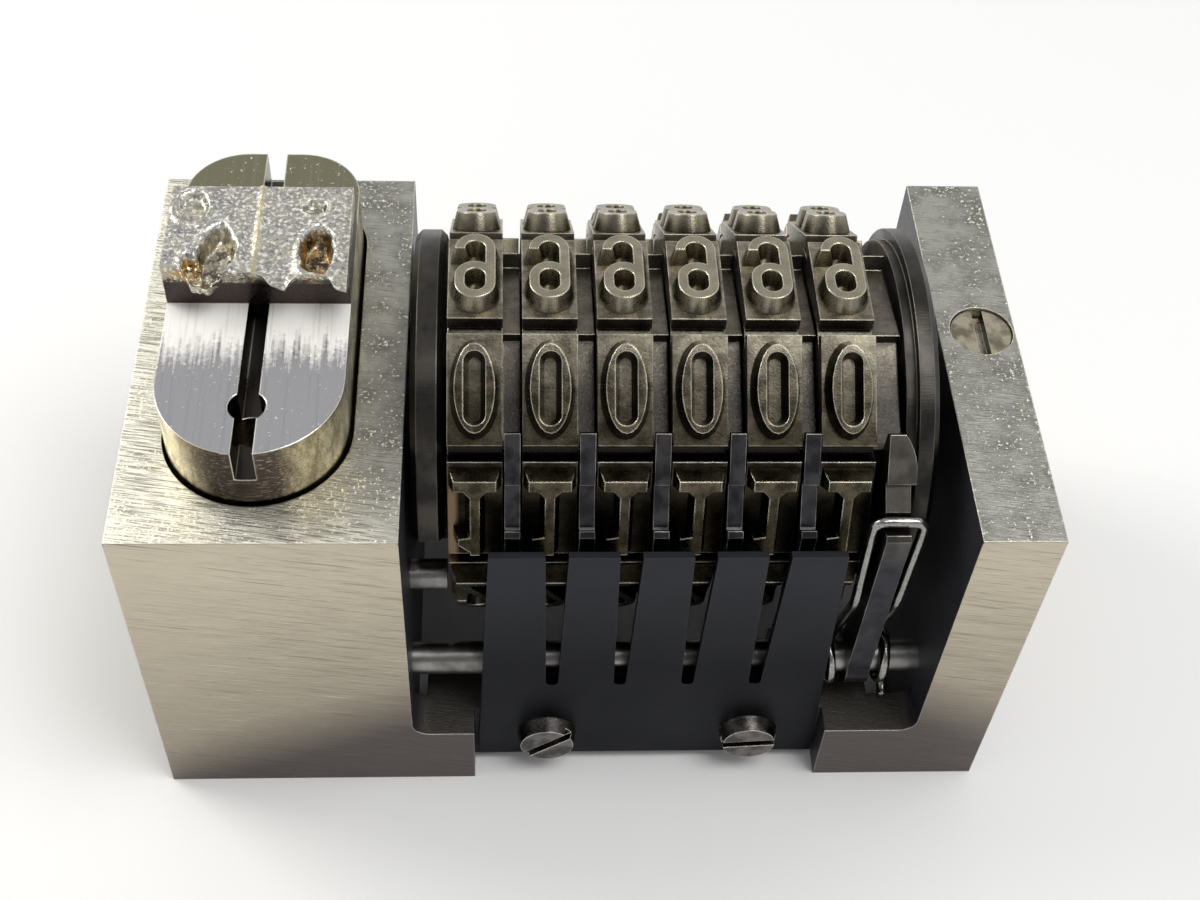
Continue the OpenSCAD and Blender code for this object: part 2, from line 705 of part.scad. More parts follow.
module drive_pawl() {
    color("#5b5956")
    translate([0, shaft_y, shaft_z]) {
        along_x(sleeve_left, sleeve_right - sleeve_left) back_plate_outline();
        along_x(sleeve_left, sleeve_right - sleeve_left)
            translate([bar_back, bar_up])
                difference() {
                    circle(r = sleeve_r);
                    circle(d = swing_bar_d + 2 * running);
                }
        for (i = [0:wheels - 1])
            along_x(gap_x(i) + (gap_w(i) - finger_w(i)) / 2, finger_w(i))
                finger_outline(crest_r + 0.1 + (wheels - 1 - i) * finger_step);
    }
}

// a tail down from the bar, the coil round it, and an end that lies on the back plate
module drive_pawl_spring() {
    turn_points = 14;
    radius = swing_bar_d / 2 + 0.1 + drive_wire_d / 2;
    count = drive_turns * turn_points;
    tail = 2;
    rise = plate_top - bar_up - 2.6;
    plate_y = bar_y + sleeve_r + (finger_x - bar_back - sleeve_r) * rise / (plate_top - bar_up)
        + drive_wire_d / 2 + 0.12;
    coil_end = drive_spring_x + drive_turns * drive_pitch;
    coil = [for (i = [0:count])
        let (a = i * 360 / turn_points)
        [drive_spring_x + drive_pitch * i / turn_points, bar_y + radius * cos(a), bar_z + radius * sin(a)]];
    color("#6f6d6a")
    wire(concat(
        [[drive_spring_x, bar_y + radius, bar_z - tail]],
        coil,
        [[coil_end, plate_y, bar_z + rise - 0.3], [coil_end + 0.15, plate_y, bar_z + rise - 0.1],
         [coil_end + 0.4, plate_y, bar_z + rise], [coil_end + 1.6, plate_y, bar_z + rise]]),
        drive_wire_d, [0, 1, 0]);
}

// ---- the figures, drawn as they read

module figure_0() {
    slot_w = figure_w - 1.9 * stroke;
    difference() {
        polygon([for (a = [0:15:345]) [figure_w / 2 * cos(a), figure_h / 2 * sin(a)]]);
        obround(slot_w, figure_h - 1.6 * stroke);
    }
}

module figure_1() {
    base_w = 1.05 * figure_w;
    base_h = 1.2 * stroke;
    base_y = base_h - figure_h / 2;
    translate([-stroke / 2, -figure_h / 2]) square([stroke, figure_h]);
    translate([-base_w / 2, -figure_h / 2]) square([base_w, base_h]);
    polygon([
        [-0.28 * base_w, base_y], [0.28 * base_w, base_y],
        [stroke / 2, base_y + 0.8 * stroke], [-stroke / 2, base_y + 0.8 * stroke]
    ]);
    polygon([
        [0, figure_h / 2], [-stroke / 2, figure_h / 2 - 2.2 * stroke],
        [-0.42 * figure_w, figure_h / 2 - 2 * stroke], [-0.42 * figure_w, figure_h / 2 - 1.3 * stroke]
    ]);
}

module figure_2() {
    top_l = 0.56 * figure_h;
    top_y = figure_h / 2 - top_l / 2;
    difference() {
        translate([0, top_y]) bowl(figure_w, top_l);
        translate([-figure_w, top_y - top_l]) square([2 * figure_w, top_l]);
    }
    polygon([
        [figure_w / 2, top_y], [figure_w / 2 - stroke, top_y],
        [-figure_w / 2, stroke - figure_h / 2], [-figure_w / 2, -figure_h / 2],
        [stroke - figure_w / 2, stroke / 2 - figure_h / 2]
    ]);
    translate([-figure_w / 2, -figure_h / 2]) square([figure_w, stroke]);
}

module figure_3() {
    bowl_l = figure_h / 2 + stroke / 2;
    difference() {
        for (side = [-1, 1]) translate([0, side * (figure_h - bowl_l) / 2]) bowl(figure_w, bowl_l);
        translate([-figure_w, -bowl_l / 2]) square([0.8 * figure_w, bowl_l]);
    }
}

module figure_4() {
    bar_low = -0.22 * figure_h;
    stem = figure_w / 2 - 1.6 * stroke;
    translate([-figure_w / 2, bar_low]) square([figure_w, stroke]);
    translate([stem, -figure_h / 2]) square([stroke, figure_h]);
    polygon([
        [stem + stroke, figure_h / 2], [stem, figure_h / 2],
        [-figure_w / 2, bar_low + stroke], [-figure_w / 2, bar_low],
        [stroke - figure_w / 2, bar_low]
    ]);
}

module figure_5() {
    bowl_l = 0.62 * figure_h;
    bowl_y = bowl_l / 2 - figure_h / 2;
    difference() {
        translate([0, bowl_y]) bowl(figure_w, bowl_l);
        translate([-figure_w, bowl_y]) square([0.75 * figure_w, bowl_l / 2 - 1.2 * stroke]);
        translate([-figure_w, bowl_y - 0.3 * bowl_l]) square([0.75 * figure_w, 0.35 * bowl_l]);
    }
    stem_y = bowl_y + 0.28 * bowl_l;
    translate([-figure_w / 2, stem_y]) square([stroke, figure_h / 2 - stem_y]);
    translate([-figure_w / 2, figure_h / 2 - stroke]) square([figure_w, stroke]);
}

module figure_6() {
    bowl_l = 0.56 * figure_h;
    translate([0, (bowl_l - figure_h) / 2]) bowl(figure_w, bowl_l);
    difference() {
        bowl(figure_w, figure_h);
        translate([0, -figure_h]) square([figure_w, figure_h + 0.27 * figure_h]);
    }
}

module figure_7() {
    translate([-figure_w / 2, figure_h / 2 - stroke]) square([figure_w, stroke]);
    polygon([
        [figure_w / 2, figure_h / 2], [figure_w / 2 - stroke, figure_h / 2],
        [-0.2 * figure_w, -figure_h / 2], [stroke - 0.2 * figure_w, -figure_h / 2]
    ]);
}

module figure_8() {
    bowl_l = figure_h / 2 + stroke / 2;
    for (side = [-1, 1]) translate([0, side * (figure_h - bowl_l) / 2]) bowl(figure_w, bowl_l);
}

module figure_9() rotate(180) figure_6();

module figure(n) {
    if (n == 0) figure_0();
    if (n == 1) figure_1();
    if (n == 2) figure_2();
    if (n == 3) figure_3();
    if (n == 4) figure_4();
    if (n == 5) figure_5();
    if (n == 6) figure_6();
    if (n == 7) figure_7();
    if (n == 8) figure_8();
    if (n == 9) figure_9();
}

// ---- the figure wheels

// saw teeth, one a figure, steep towards the front; the tooth at the back is cut deeper
module ratchet_outline() {
    polygon([for (i = [0:figures - 1])
        let (root = i == figures / 2 - 1 ? carry_root_r : root_r)
        each [
            [-crest_r * cos(i * step), crest_r * sin(i * step)],
            [-root * cos((i + 1) * step), root * sin((i + 1) * step)]
        ]]);
}

// one block with its figure mirrored for printing; the wheel stands with 9 at the top
module figure_block(n) {
    rotate([((n + 1) % figures) * step, 0, 0]) {
        translate([-figure_block_w / 2, -figure_block_l / 2, drum_r - bite])
            cube([figure_block_w, figure_block_l, block_apothem - drum_r + bite]);
        translate([0, 0, block_apothem - bite])
            linear_extrude(relief + bite) mirror([0, 1]) figure(n);
    }
}

module figure_wheel(i) {
    ring_w = i == wheels - 1 ? units_ratchet_w : ratchet_w;
    color(i % 2 == 0 ? "#6a655d" : "#625e57")
    translate([wheel_x(i), shaft_y, shaft_z])
    difference() {
        union() {
            rod_x(-figure_block_w / 2, figure_block_w, 0, 0, 2 * drum_r);
            for (n = [0:figures - 1]) figure_block(n);
            along_x(figure_block_w / 2 - bite, ring_w + bite) ratchet_outline();
        }
        rod_x(-figure_block_w, 2 * figure_block_w + ring_w, 0, 0, shaft_d + 2 * running);
    }
}

module wheel_1() figure_wheel(0);
module wheel_2() figure_wheel(1);
module wheel_3() figure_wheel(2);
module wheel_4() figure_wheel(3);
module wheel_5() figure_wheel(4);
module units_wheel() figure_wheel(5);

// ---- the retaining pawls

// hub on the rod, arm up behind the comb, shoulder, neck, and a head that hooks over the ratchet
module pawl(x, w, arm_front, shoulder_z, neck_front, neck_rise, outer_r, low) {
    arm_back = shaft_y - crest_r - 0.15;
    knee_rise = 2.4 * hub_r;
    lip = 0.35;
    difference() {
        union() {
            rod_x(x, w, rod_y, rod_z, 2 * hub_r);
            along_x(x, w)
                polygon(concat([
                    [rod_y - 0.9 * hub_r, rod_z], [arm_front, shoulder_z - 0.2],
                    [arm_front + 0.2, shoulder_z], [neck_front - 0.1, shoulder_z - 0.3],
                    [neck_front, shoulder_z - 0.25], [neck_front, shoulder_z + neck_rise],
                    front_point(outer_r - lip, low)],
                    head_points(outer_r, low),
                    [front_point(nose_r + 0.15, nose_low - 2.5),
                    [arm_back, shoulder_z - 0.6], [arm_back, rod_z + knee_rise],
                    [rod_y + 0.6 * hub_r, rod_z + 0.6 * hub_r]
                ]));
        }
        rod_x(x - cut, w + 2 * cut, rod_y, rod_z, rod_d + 2 * running);
    }
}

nose_r = crest_r + nose_gap;
nose_low = 30;      // angles of the nose's ends above the level of the shaft
nose_high = 36;

function head_points(outer_r, low) = [
    front_point(outer_r, low), front_point(outer_r, head_high), front_point(outer_r - 0.5, head_high),
    front_point(nose_r, nose_high), front_point(nose_r, nose_low)
];

module narrow_pawl(i) {
    arm_front = leaf_y + finger_gap;
    color("#55534f")
        pawl(gap_x(i) + (gap_w(i) - pawl_t) / 2, pawl_t,
            arm_front, shaft_z + pawl_shoulder, arm_front + shoulder_depth, -0.2,
            crest_r + head_h, head_low);
}

module pawl_1() narrow_pawl(0);
module pawl_2() narrow_pawl(1);
module pawl_3() narrow_pawl(2);
module pawl_4() narrow_pawl(3);
module pawl_5() narrow_pawl(4);

wide_pawl_x = gap_x(wheels - 1) + wide_pawl_gap;
wide_neck_y = leaf_y + wide_shoulder_depth;
wide_shoulder_z = shaft_z + wide_shoulder;

// its head reaches to the right over the step of the swing arm and is filed round at the top
module units_pawl() {
    outer_r = crest_r + wide_head_h;
    round_r = 2.6;
    round_l = 1.6;
    round_low = outer_r * head_high * PI / 180 - round_l;
    head_right = wide_pawl_x + wide_head_w;
    middle = (head_high + wide_head_low) / 2;
    color("#4c4a47")
    difference() {
        union() {
            pawl(wide_pawl_x, wide_pawl_t,
                leaf_y, wide_shoulder_z, wide_neck_y, 0.5, outer_r, wide_head_low);
            along_x(wide_pawl_x + wide_pawl_t - bite, wide_head_w - wide_pawl_t + bite)
                polygon(head_points(outer_r, wide_head_low));
        }
        translate([0, shaft_y, shaft_z]) rotate([90 - middle, 0, 0])
            translate([0, round_low - outer_r * middle * PI / 180, crest_r - cut])
                linear_extrude(wide_head_h + 2 * cut)
                    difference() {
                        translate([head_right - wide_head_w, 0]) square([wide_head_w + cut, round_l + cut]);
                        translate([head_right - round_r, 0]) circle(r = round_r);
                    }
    }
}

// half the wire, left (-1) or right (1) of its middle: an end leg on the front bar, a turn round
// the rod, a leg up, and the corner of the loop that lies across the pawl's neck
function half_loop(side, spread) =
    let (
        turn_points = 14,
        radius = rod_d / 2 + 0.1 + loop_wire_d / 2,
        pitch = loop_wire_d + 0.03,
        corner = 0.45,
        low_x = loop_w / 2,
        top_x = low_x + spread,
        cross_y = wide_neck_y - loop_wire_d / 2 - 0.02,
        cross_z = wide_shoulder_z + loop_rise,
        end_y = leaf_y + loop_wire_d / 2 + 0.1,
        end_z = bar_h + loop_wire_d / 2 + 0.16,
        bend_z = shaft_z - 2.37,
        from = -425,
        to = 20,
        count = ceil((to - from) * turn_points / 360),
        end_x = low_x + pitch * (to - from) / 360
    )
    concat(
        [[side * end_x, end_y, end_z], [side * end_x, end_y + 0.45, end_z]],
        [for (i = [0:count])
            let (a = from + (to - from) * i / count)
            [side * (low_x + pitch * (to - a) / 360), rod_y + radius * cos(a), rod_z + radius * sin(a)]],
        [[side * low_x, cross_y - 0.12, bend_z - 0.5], [side * low_x, cross_y - 0.22, bend_z],
         [side * (low_x + 0.1 * spread), cross_y - 0.22, bend_z + 0.5],
         [side * top_x, cross_y, cross_z - corner]],
        [for (a = [30:30:90])
            [side * (top_x - corner * (1 - cos(a))), cross_y, cross_z - corner * (1 - sin(a))]]
    );

module units_pawl_spring() {
    left = half_loop(-1, loop_spread[0]);
    right = half_loop(1, loop_spread[1]);
    color("#8a8886")
    translate([wide_pawl_x + wide_pawl_t / 2, 0, 0])
        wire(concat(left, [for (i = [len(right) - 1:-1:0]) right[i]]), loop_wire_d, [1, 0, 0]);
}

case_frame();
wheel_shaft();
shaft_lock_screw();
spacer_collar();
pawl_rod();
stop_pin();
comb_spring();
comb_screws();
plunger_spring_front();
plunger_spring_rear();
plunger();
plunger_slug();
left_swing_arm();
right_swing_arm();
swing_bar();
drive_stud();
drive_pawl();
drive_pawl_spring();
wheel_1();
wheel_2();
wheel_3();
wheel_4();
wheel_5();
units_wheel();
pawl_1();
pawl_2();
pawl_3();
pawl_4();
pawl_5();
units_pawl();
units_pawl_spring();
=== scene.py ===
"""Looks of a letterpress numbering machine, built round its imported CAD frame. Metres, Z up."""

import math

import bmesh
import bpy
from mathutils import Matrix, Vector, noise


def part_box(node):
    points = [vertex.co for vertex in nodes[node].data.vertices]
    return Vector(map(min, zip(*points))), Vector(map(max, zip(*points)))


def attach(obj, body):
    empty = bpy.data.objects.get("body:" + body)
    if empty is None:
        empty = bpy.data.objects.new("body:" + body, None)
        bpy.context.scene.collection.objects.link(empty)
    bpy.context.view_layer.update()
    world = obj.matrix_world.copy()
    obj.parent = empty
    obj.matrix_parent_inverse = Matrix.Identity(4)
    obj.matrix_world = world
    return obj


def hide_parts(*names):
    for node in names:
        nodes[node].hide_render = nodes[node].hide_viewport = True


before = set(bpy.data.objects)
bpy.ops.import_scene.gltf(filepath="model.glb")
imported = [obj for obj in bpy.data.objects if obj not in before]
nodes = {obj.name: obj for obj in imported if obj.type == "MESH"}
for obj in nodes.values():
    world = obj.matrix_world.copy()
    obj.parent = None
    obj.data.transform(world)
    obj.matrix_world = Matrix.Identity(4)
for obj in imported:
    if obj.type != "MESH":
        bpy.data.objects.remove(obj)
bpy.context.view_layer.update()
bpy.ops.object.select_all(action="DESELECT")


# ---- Case
# The case is one block of mild steel, milled out for the wheels and the plunger. Its sides are
# ground, and its top is dressed on a stone and dented by years of lock-up. Oil and painted shade
# blacken the bay and the plunger's pocket.

MM = 0.001
case_low, case_high = [Vector(corner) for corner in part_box("case_frame")]
BAY_MIDDLE = 3.99 * MM
SAW_CUT_X = -13.55 * MM  # the middle of the plunger and of its saw cut
# the middle and half the width of each oily hollow, along X and along Y
BAY = (BAY_MIDDLE, 11.65 * MM, 0, 10.43 * MM)
POCKET = (SAW_CUT_X, 3.93 * MM, 0.1 * MM, 8.78 * MM)


def linear(code):
    """An sRGB hex colour as the linear values that a shader takes."""
    out = []
    for i in (1, 3, 5):
        c = int(code[i : i + 2], 16) / 255
        out.append(c / 12.92 if c <= 0.04045 else ((c + 0.055) / 1.055) ** 2.4)
    return (*out, 1.0)


def add(tree, kind, *inputs, **named):
    """Adds one shader node with its settings and links.

    The inputs fill its sockets in order. A capitalised name is a socket too, as in Base_Color, and
    any other name is a setting of the node. An input is a value, a hex colour, a socket or a node,
    which stands for its first output.
    """
    made = tree.nodes.new("ShaderNode" + kind)
    sockets = dict(enumerate(inputs))
    for name, value in named.items():
        if name[0].isupper():
            sockets[name.replace("_", " ")] = value
        else:
            setattr(made, name, value)
    for key, value in sockets.items():
        if isinstance(value, bpy.types.Node):
            value = value.outputs[0]
        if isinstance(value, bpy.types.NodeSocket):
            tree.links.new(value, made.inputs[key])
        elif isinstance(value, str):
            made.inputs[key].default_value = linear(value)
        elif value is not None:
            made.inputs[key].default_value = value
    return made


def new_metal(name):
    """An empty material, its tree and its texture coordinates."""
    material = bpy.data.materials.new(name)
    material.use_nodes = True
    tree = material.node_tree
    tree.nodes.clear()
    return material, tree, add(tree, "TexCoord")


def marks(tree, coords, sizes_mm, detail=3.0, rough=0.5, turn_deg=(0, 0, 0)):
    """Noise whose marks have one real size in mm, or three along X, Y and Z, turned by turn_deg."""
    sizes = sizes_mm if isinstance(sizes_mm, tuple) else (sizes_mm,) * 3
    place = add(
        tree,
        "Mapping",
        coords.outputs["Object"],
        Rotation=[math.radians(angle) for angle in turn_deg],
        Scale=[size * MM for size in sizes],
        vector_type="TEXTURE",
    )
    return add(tree, "TexNoise", place, Scale=1.0, Detail=detail, Roughness=rough)


def coat(tree, under, over, value, low, high, most=1.0, blend_type="MIX"):
    """Lays one colour over another: none of it where value is low, most of it where value is high."""
    share = add(tree, "MapRange", value, low, high, 0.0, most)
    return add(tree, "MixRGB", share, under, over, blend_type=blend_type)


def worn_edges(tree, radius_mm):
    """The rounded normal of a worn edge, and a mask that is 1 on the edge and 0 on the flats."""
    rounded = add(tree, "Bevel", Radius=radius_mm * MM, samples=6)
    flat = add(tree, "NewGeometry").outputs["Normal"]
    likeness = add(tree, "VectorMath", rounded, flat, operation="DOT_PRODUCT").outputs["Value"]
    return rounded, add(tree, "MapRange", likeness, 0.995, 0.86)


def close_metal(tree, colour, roughness, relief, depth_mm, rounded=None, metallic=1.0):
    """Joins a metal's colour, roughness and relief, which has a real depth in mm, in its shader."""
    bump = add(tree, "Bump", Height=relief, Distance=depth_mm * MM, Normal=rounded)
    shader = add(
        tree,
        "BsdfPrincipled",
        Base_Color=colour,
        Metallic=metallic,
        Roughness=roughness,
        Normal=bump,
    )
    add(tree, "OutputMaterial", Surface=shader)


def dress(material, *names):
    """Puts one material on all the slots of CAD nodes."""
    for name in names:
        mesh = nodes[name].data
        mesh.materials.clear()
        mesh.materials.append(material)


# ground mild steel: a warm grey with long fine lines, dull on the sides, with painted reflections and
# glints on the top
ground_steel, tree, coords = new_metal("ground_mild_steel")
x, y, z = add(tree, "SeparateXYZ", coords.outputs["Object"]).outputs
normal_z = add(tree, "SeparateXYZ", coords.outputs["Normal"]).outputs["Z"]
up = add(tree, "MapRange", add(tree, "Math", normal_z, operation="ABSOLUTE"), 0.6, 0.8)
# a grinder's real lines are about 0.02 mm wide and are drawn coarser, so that they show
side_grain = marks(tree, coords, (2.6, 0.05, 0.05), 4.0, 0.7, (0, 8, 0))
side_scratch = marks(tree, coords, (5.0, 0.13, 0.13), 3.0, 0.6, (0, 12, 0))
top_grain = marks(tree, coords, 0.18, 4.0, 0.75)
top_scratch = marks(tree, coords, (1.6, 0.07, 0.07), 3.0, 0.6, (0, 0, -9))
stain = marks(tree, coords, 4.5, 3.0, 0.6)
mottle = marks(tree, coords, 1.3, 3.0, 0.6)
lines = add(tree, "Math", side_scratch, 0.8, side_grain, operation="MULTIPLY_ADD")
flecks = add(tree, "Math", top_scratch, 0.8, top_grain, operation="MULTIPLY_ADD")
relief = add(tree, "MixRGB", up, lines, flecks)

# the sides are clean at their outer ends; painted shade darkens them low down and beside the bay
from_bay = add(tree, "Math", x, BAY_MIDDLE, operation="SUBTRACT")
from_bay = add(tree, "Math", from_bay, operation="ABSOLUTE")
side_shade_top = add(tree, "Math", from_bay, -0.5, 13.6 * MM, operation="MULTIPLY_ADD")
side_shade = add(tree, "Math", side_shade_top, z, operation="SUBTRACT")
side_shade = add(tree, "Math", side_scratch, 2.4 * MM, side_shade, operation="MULTIPLY_ADD")
lined = add(tree, "MapRange", from_bay, 22 * MM, 14 * MM, 0.25, 0.7)
lined = add(tree, "Math", lined, add(tree, "MapRange", lines, 0.85, 0.70), operation="MULTIPLY")
# painted shade: the sides are darker towards the foot
side_colour = coat(tree, "#978e7e", "#c9c0ac", z, 2 * MM, 17 * MM)
side_colour = add(tree, "MixRGB", lined, side_colour, "#857a69")
side_colour = coat(tree, side_colour, "#e2dbc9", lines, 0.98, 1.12, 0.6)
side_colour = coat(tree, side_colour, "#6f6656", side_scratch, 0.60, 0.72, 0.7)
side_colour = coat(tree, side_colour, "#5d5654", side_shade, 0, 4.5 * MM)

# the top is painted with reflections, most of all at the left and in front, and with white painted
# glints
at_left = add(tree, "MapRange", x, -14.5 * MM, -19 * MM, 0, 0.85)
in_front = add(tree, "MapRange", y, -6 * MM, -10.3 * MM, 0, 0.75)
painted_glare = add(tree, "MapRange", x, -6 * MM, -13 * MM, 0.35, 1)
painted_glare = add(tree, "Math", in_front, painted_glare, at_left, operation="MULTIPLY_ADD")
painted_glare = add(tree, "Math", painted_glare, add(tree, "MapRange", x, 5 * MM, 0), operation="MULTIPLY")
painted_glare = add(tree, "Math", painted_glare, 0.25, operation="SUBTRACT")
painted_glare = add(tree, "Math", mottle, 0.5, painted_glare, operation="MULTIPLY_ADD")
painted_top_glints = add(tree, "Math", mottle, 0.3, -0.155, operation="MULTIPLY_ADD")
painted_top_glints = add(tree, "Math", painted_glare, 0.06, painted_top_glints, operation="MULTIPLY_ADD")
painted_top_glints = add(tree, "Math", painted_top_glints, top_grain, operation="ADD")
glare_colour = coat(tree, "#fbf8ea", "#9b9789", top_scratch, 0.44, 0.60)
top_colour = coat(tree, "#a9a8a0", "#7f7e79", mottle, 0.36, 0.64)
top_colour = coat(tree, top_colour, "#5f5c55", top_scratch, 0.55, 0.66, 0.6)
top_colour = coat(tree, top_colour, glare_colour, painted_glare, 0.1, 0.6)
top_colour = coat(tree, top_colour, "#fffae6", painted_top_glints, 0.595, 0.635)
colour = add(tree, "MixRGB", up, side_colour, top_colour)

# the edges are burred bright, brightest along the top as a painted highlight; the arris under the top
# is a dark line
rounded, edge = worn_edges(tree, 0.11)
burr = add(tree, "MapRange", top_grain, 0.40, 0.56, 0.45, 1.0)
burr = add(tree, "Math", edge, burr, operation="MULTIPLY")
burr = add(tree, "Math", burr, add(tree, "MapRange", up, 0, 1, 0.35, 1.0), operation="MULTIPLY")
colour = add(tree, "MixRGB", burr, colour, "#f6f1e2")
arris = add(tree, "MapRange", z, case_high.z - 0.25 * MM, case_high.z - 0.1 * MM)
arris = add(tree, "Math", edge, arris, operation="MULTIPLY")
arris = add(tree, "Math", arris, add(tree, "MapRange", up, 0, 1, 0.8, 0), operation="MULTIPLY")
colour = add(tree, "MixRGB", arris, colour, "#4b463e")

# the walls of the hollows, below the top and above the foot, are painted near black: oil, and painted
# shade
oil_and_shade = 0.0
for middle_x, half_x, middle_y, half_y in (BAY, POCKET):
    hollow = add(tree, "Math", x, middle_x, half_x, operation="COMPARE")
    beside = add(tree, "Math", y, middle_y, half_y, operation="COMPARE")
    hollow = add(tree, "Math", hollow, beside, operation="MULTIPLY")
    oil_and_shade = add(tree, "Math", oil_and_shade, hollow, operation="MAXIMUM")
under_top = add(tree, "Math", z, case_high.z - 0.03 * MM, operation="LESS_THAN")
over_foot = add(tree, "Math", z, 0.05 * MM, operation="GREATER_THAN")
oil_and_shade = add(tree, "Math", oil_and_shade, under_top, operation="MULTIPLY")
oil_and_shade = add(tree, "Math", oil_and_shade, over_foot, operation="MULTIPLY")
oil_and_shade_colour = coat(tree, "#2b2c33", "#3a3a3e", stain, 0.4, 0.7)
oil_and_shade_colour = add(tree, "MixRGB", up, oil_and_shade_colour, "#46423d")
colour = add(tree, "MixRGB", oil_and_shade, colour, oil_and_shade_colour)
roughness = add(tree, "MapRange", relief, 0.5, 1.2, 0.24, 0.44)
metallic = add(tree, "MapRange", oil_and_shade, 0, 1, 1.0, 0.4)
close_metal(tree, colour, roughness, relief, 0.03, rounded, metallic)
dress(ground_steel, "case_frame")


# ---- Shaft, rod and pins
# Drawn silver steel, ground round and pushed into reamed holes. The swing bar and the drive stud
# are of the same bar.

# ground silver steel: the smoothest metal here, with a sharp highlight along each pin
silver_steel, tree, coords = new_metal("ground_silver_steel")
draw_marks = marks(tree, coords, (3.0, 0.05, 0.05), 3.0, 0.6)
smears = marks(tree, coords, 1.4)
colour = coat(tree, "#9c9b98", "#6d6b69", smears, 0.4, 0.65)
roughness = add(tree, "MapRange", smears, 0.3, 0.7, 0.26, 0.4)
close_metal(tree, colour, roughness, draw_marks, 0.004)
dress(silver_steel, "wheel_shaft", "pawl_rod", "stop_pin", "swing_bar", "drive_stud")


# ---- Screws
# Turned from bar, slotted with a saw, and marked round the slot by the screwdriver. The comb's two
# screws are painted darker than the lock screw, as painted shade by the comb.

# turned steel: bright faces, a rubbed rim, and walls that face sideways painted near black
# the comb screws' colours are darker, as painted shade
for name, clean, dull, screws in (
    ("turned_screw_steel", "#b5ae99", "#7d7767", "shaft_lock_screw"),
    ("shaded_screw_steel", "#7a7471", "#4b4746", "comb_screws"),
):
    screw_steel, tree, coords = new_metal(name)
    _, normal_y, normal_z = add(tree, "SeparateXYZ", coords.outputs["Normal"]).outputs
    tool_marks = marks(tree, coords, 0.12)
    dirt = marks(tree, coords, 0.7)
    rounded, edge = worn_edges(tree, 0.07)
    facing = add(tree, "Math", normal_y, operation="ABSOLUTE")
    facing = add(tree, "Math", normal_z, facing, operation="MAXIMUM")
    colour = coat(tree, clean, dull, dirt, 0.42, 0.62)
    colour = coat(tree, "#3b3833", colour, facing, 0.4, 0.8)
    colour = add(tree, "MixRGB", edge, colour, "#dcd7c8")
    roughness = add(tree, "MapRange", tool_marks, 0.3, 0.7, 0.22, 0.38)
    close_metal(tree, colour, roughness, tool_marks, 0.008, rounded)
    dress(screw_steel, screws)


# ---- Figure wheels
# Hardened steel wheels with ten square blocks each, milled across. The grooves between the blocks
# and the drum stay dark with ink, and the blocks' edges are rubbed bright. Low down the wheels are
# painted darker as shade, and at the back paler as painted light.

wheel_names = ["wheel_1", "wheel_2", "wheel_3", "wheel_4", "wheel_5", "units_wheel"]
WHEEL_PITCH = 3.065 * MM
SHAFT = (-4.685 * MM, 0.5 * MM, 14.4 * MM)  # the middle of wheel 1's blocks, on the shaft
BLOCK_TOP = 8.15 * MM  # from the shaft
RELIEF = 0.77 * MM  # of the figures, over the blocks
# painted shade darkens the wheels between these heights and gives way behind the comb; painted light
# at the back
SHADED = (19.0 * MM, 17.2 * MM)  # heights between which the wheels darken, downwards
BEHIND_COMB = (12.5 * MM, 9.5 * MM)  # heights between which they turn paler again, downwards
LIT_REAR = (3.6 * MM, 5.4 * MM)  # depths between which they turn pale, backwards


def from_shaft(tree, coords):
    """The height above the shaft, and how squarely the surface faces away from it."""
    shaft = (0, SHAFT[1], SHAFT[2])
    arm = add(tree, "VectorMath", coords.outputs["Object"], shaft, operation="SUBTRACT")
    arm = add(tree, "VectorMath", arm, (0, 1, 1), operation="MULTIPLY")
    length = add(tree, "VectorMath", arm, operation="LENGTH")
    away = add(tree, "VectorMath", arm, operation="NORMALIZE")
    square = add(tree, "VectorMath", away, coords.outputs["Normal"], operation="DOT_PRODUCT")
    return length.outputs["Value"], square.outputs["Value"]


# inked block steel: inky grooves, grey brown blocks and pale rubbed edges, painted darker low down as
# shade
block_steel, tree, coords = new_metal("inked_block_steel")
x, y, z = add(tree, "SeparateXYZ", coords.outputs["Object"]).outputs
radius, outward = from_shaft(tree, coords)
turning = marks(tree, coords, (1.6, 0.06, 0.06), 3.0, 0.6)
ink = marks(tree, coords, 0.9, 4.0, 0.65)
fine = marks(tree, coords, 0.1, 3.0, 0.6)
rounded, edge = worn_edges(tree, 0.08)
top = add(tree, "MapRange", radius, BLOCK_TOP - 0.2 * MM, BLOCK_TOP - 0.05 * MM)
top = add(tree, "Math", top, add(tree, "MapRange", outward, 0.85, 0.95), operation="MULTIPLY")
# painted shade: the grooves and the drum are darker low down
colour = coat(tree, "#2f2d2b", "#7c766a", z, 19.8 * MM, 22.0 * MM)
colour = coat(tree, colour, "#2f2c28", ink, 0.4, 0.66, 0.6)
block_colour = coat(tree, "#9c9584", "#6a6457", ink, 0.36, 0.6)
# painted shade: the blocks are darker low down
block_colour = coat(tree, block_colour, "#7a756c", z, 22.4 * MM, 20.2 * MM, 0.9, "MULTIPLY")
colour = add(tree, "MixRGB", top, colour, block_colour)
colour = coat(tree, colour, "#242220", turning, 0.56, 0.72, 0.5)
# painted shade over the lower part of the wheels, and painted light at the back
colour = coat(tree, colour, "#4a4742", z, *SHADED, 0.85, "MULTIPLY")
colour = coat(tree, colour, "#b5ad97", y, *LIT_REAR, 0.6)
# a painted tan reflection, low on the left of wheel 1
tan_reflection = add(tree, "MapRange", x, SHAFT[0] - 0.665 * MM, SHAFT[0] - 0.865 * MM)
tan_reflection = add(tree, "Math", tan_reflection, add(tree, "MapRange", z, 18.5 * MM, 17.5 * MM), operation="MULTIPLY")
colour = coat(tree, colour, "#86705a", tan_reflection, 0, 1, 0.7)
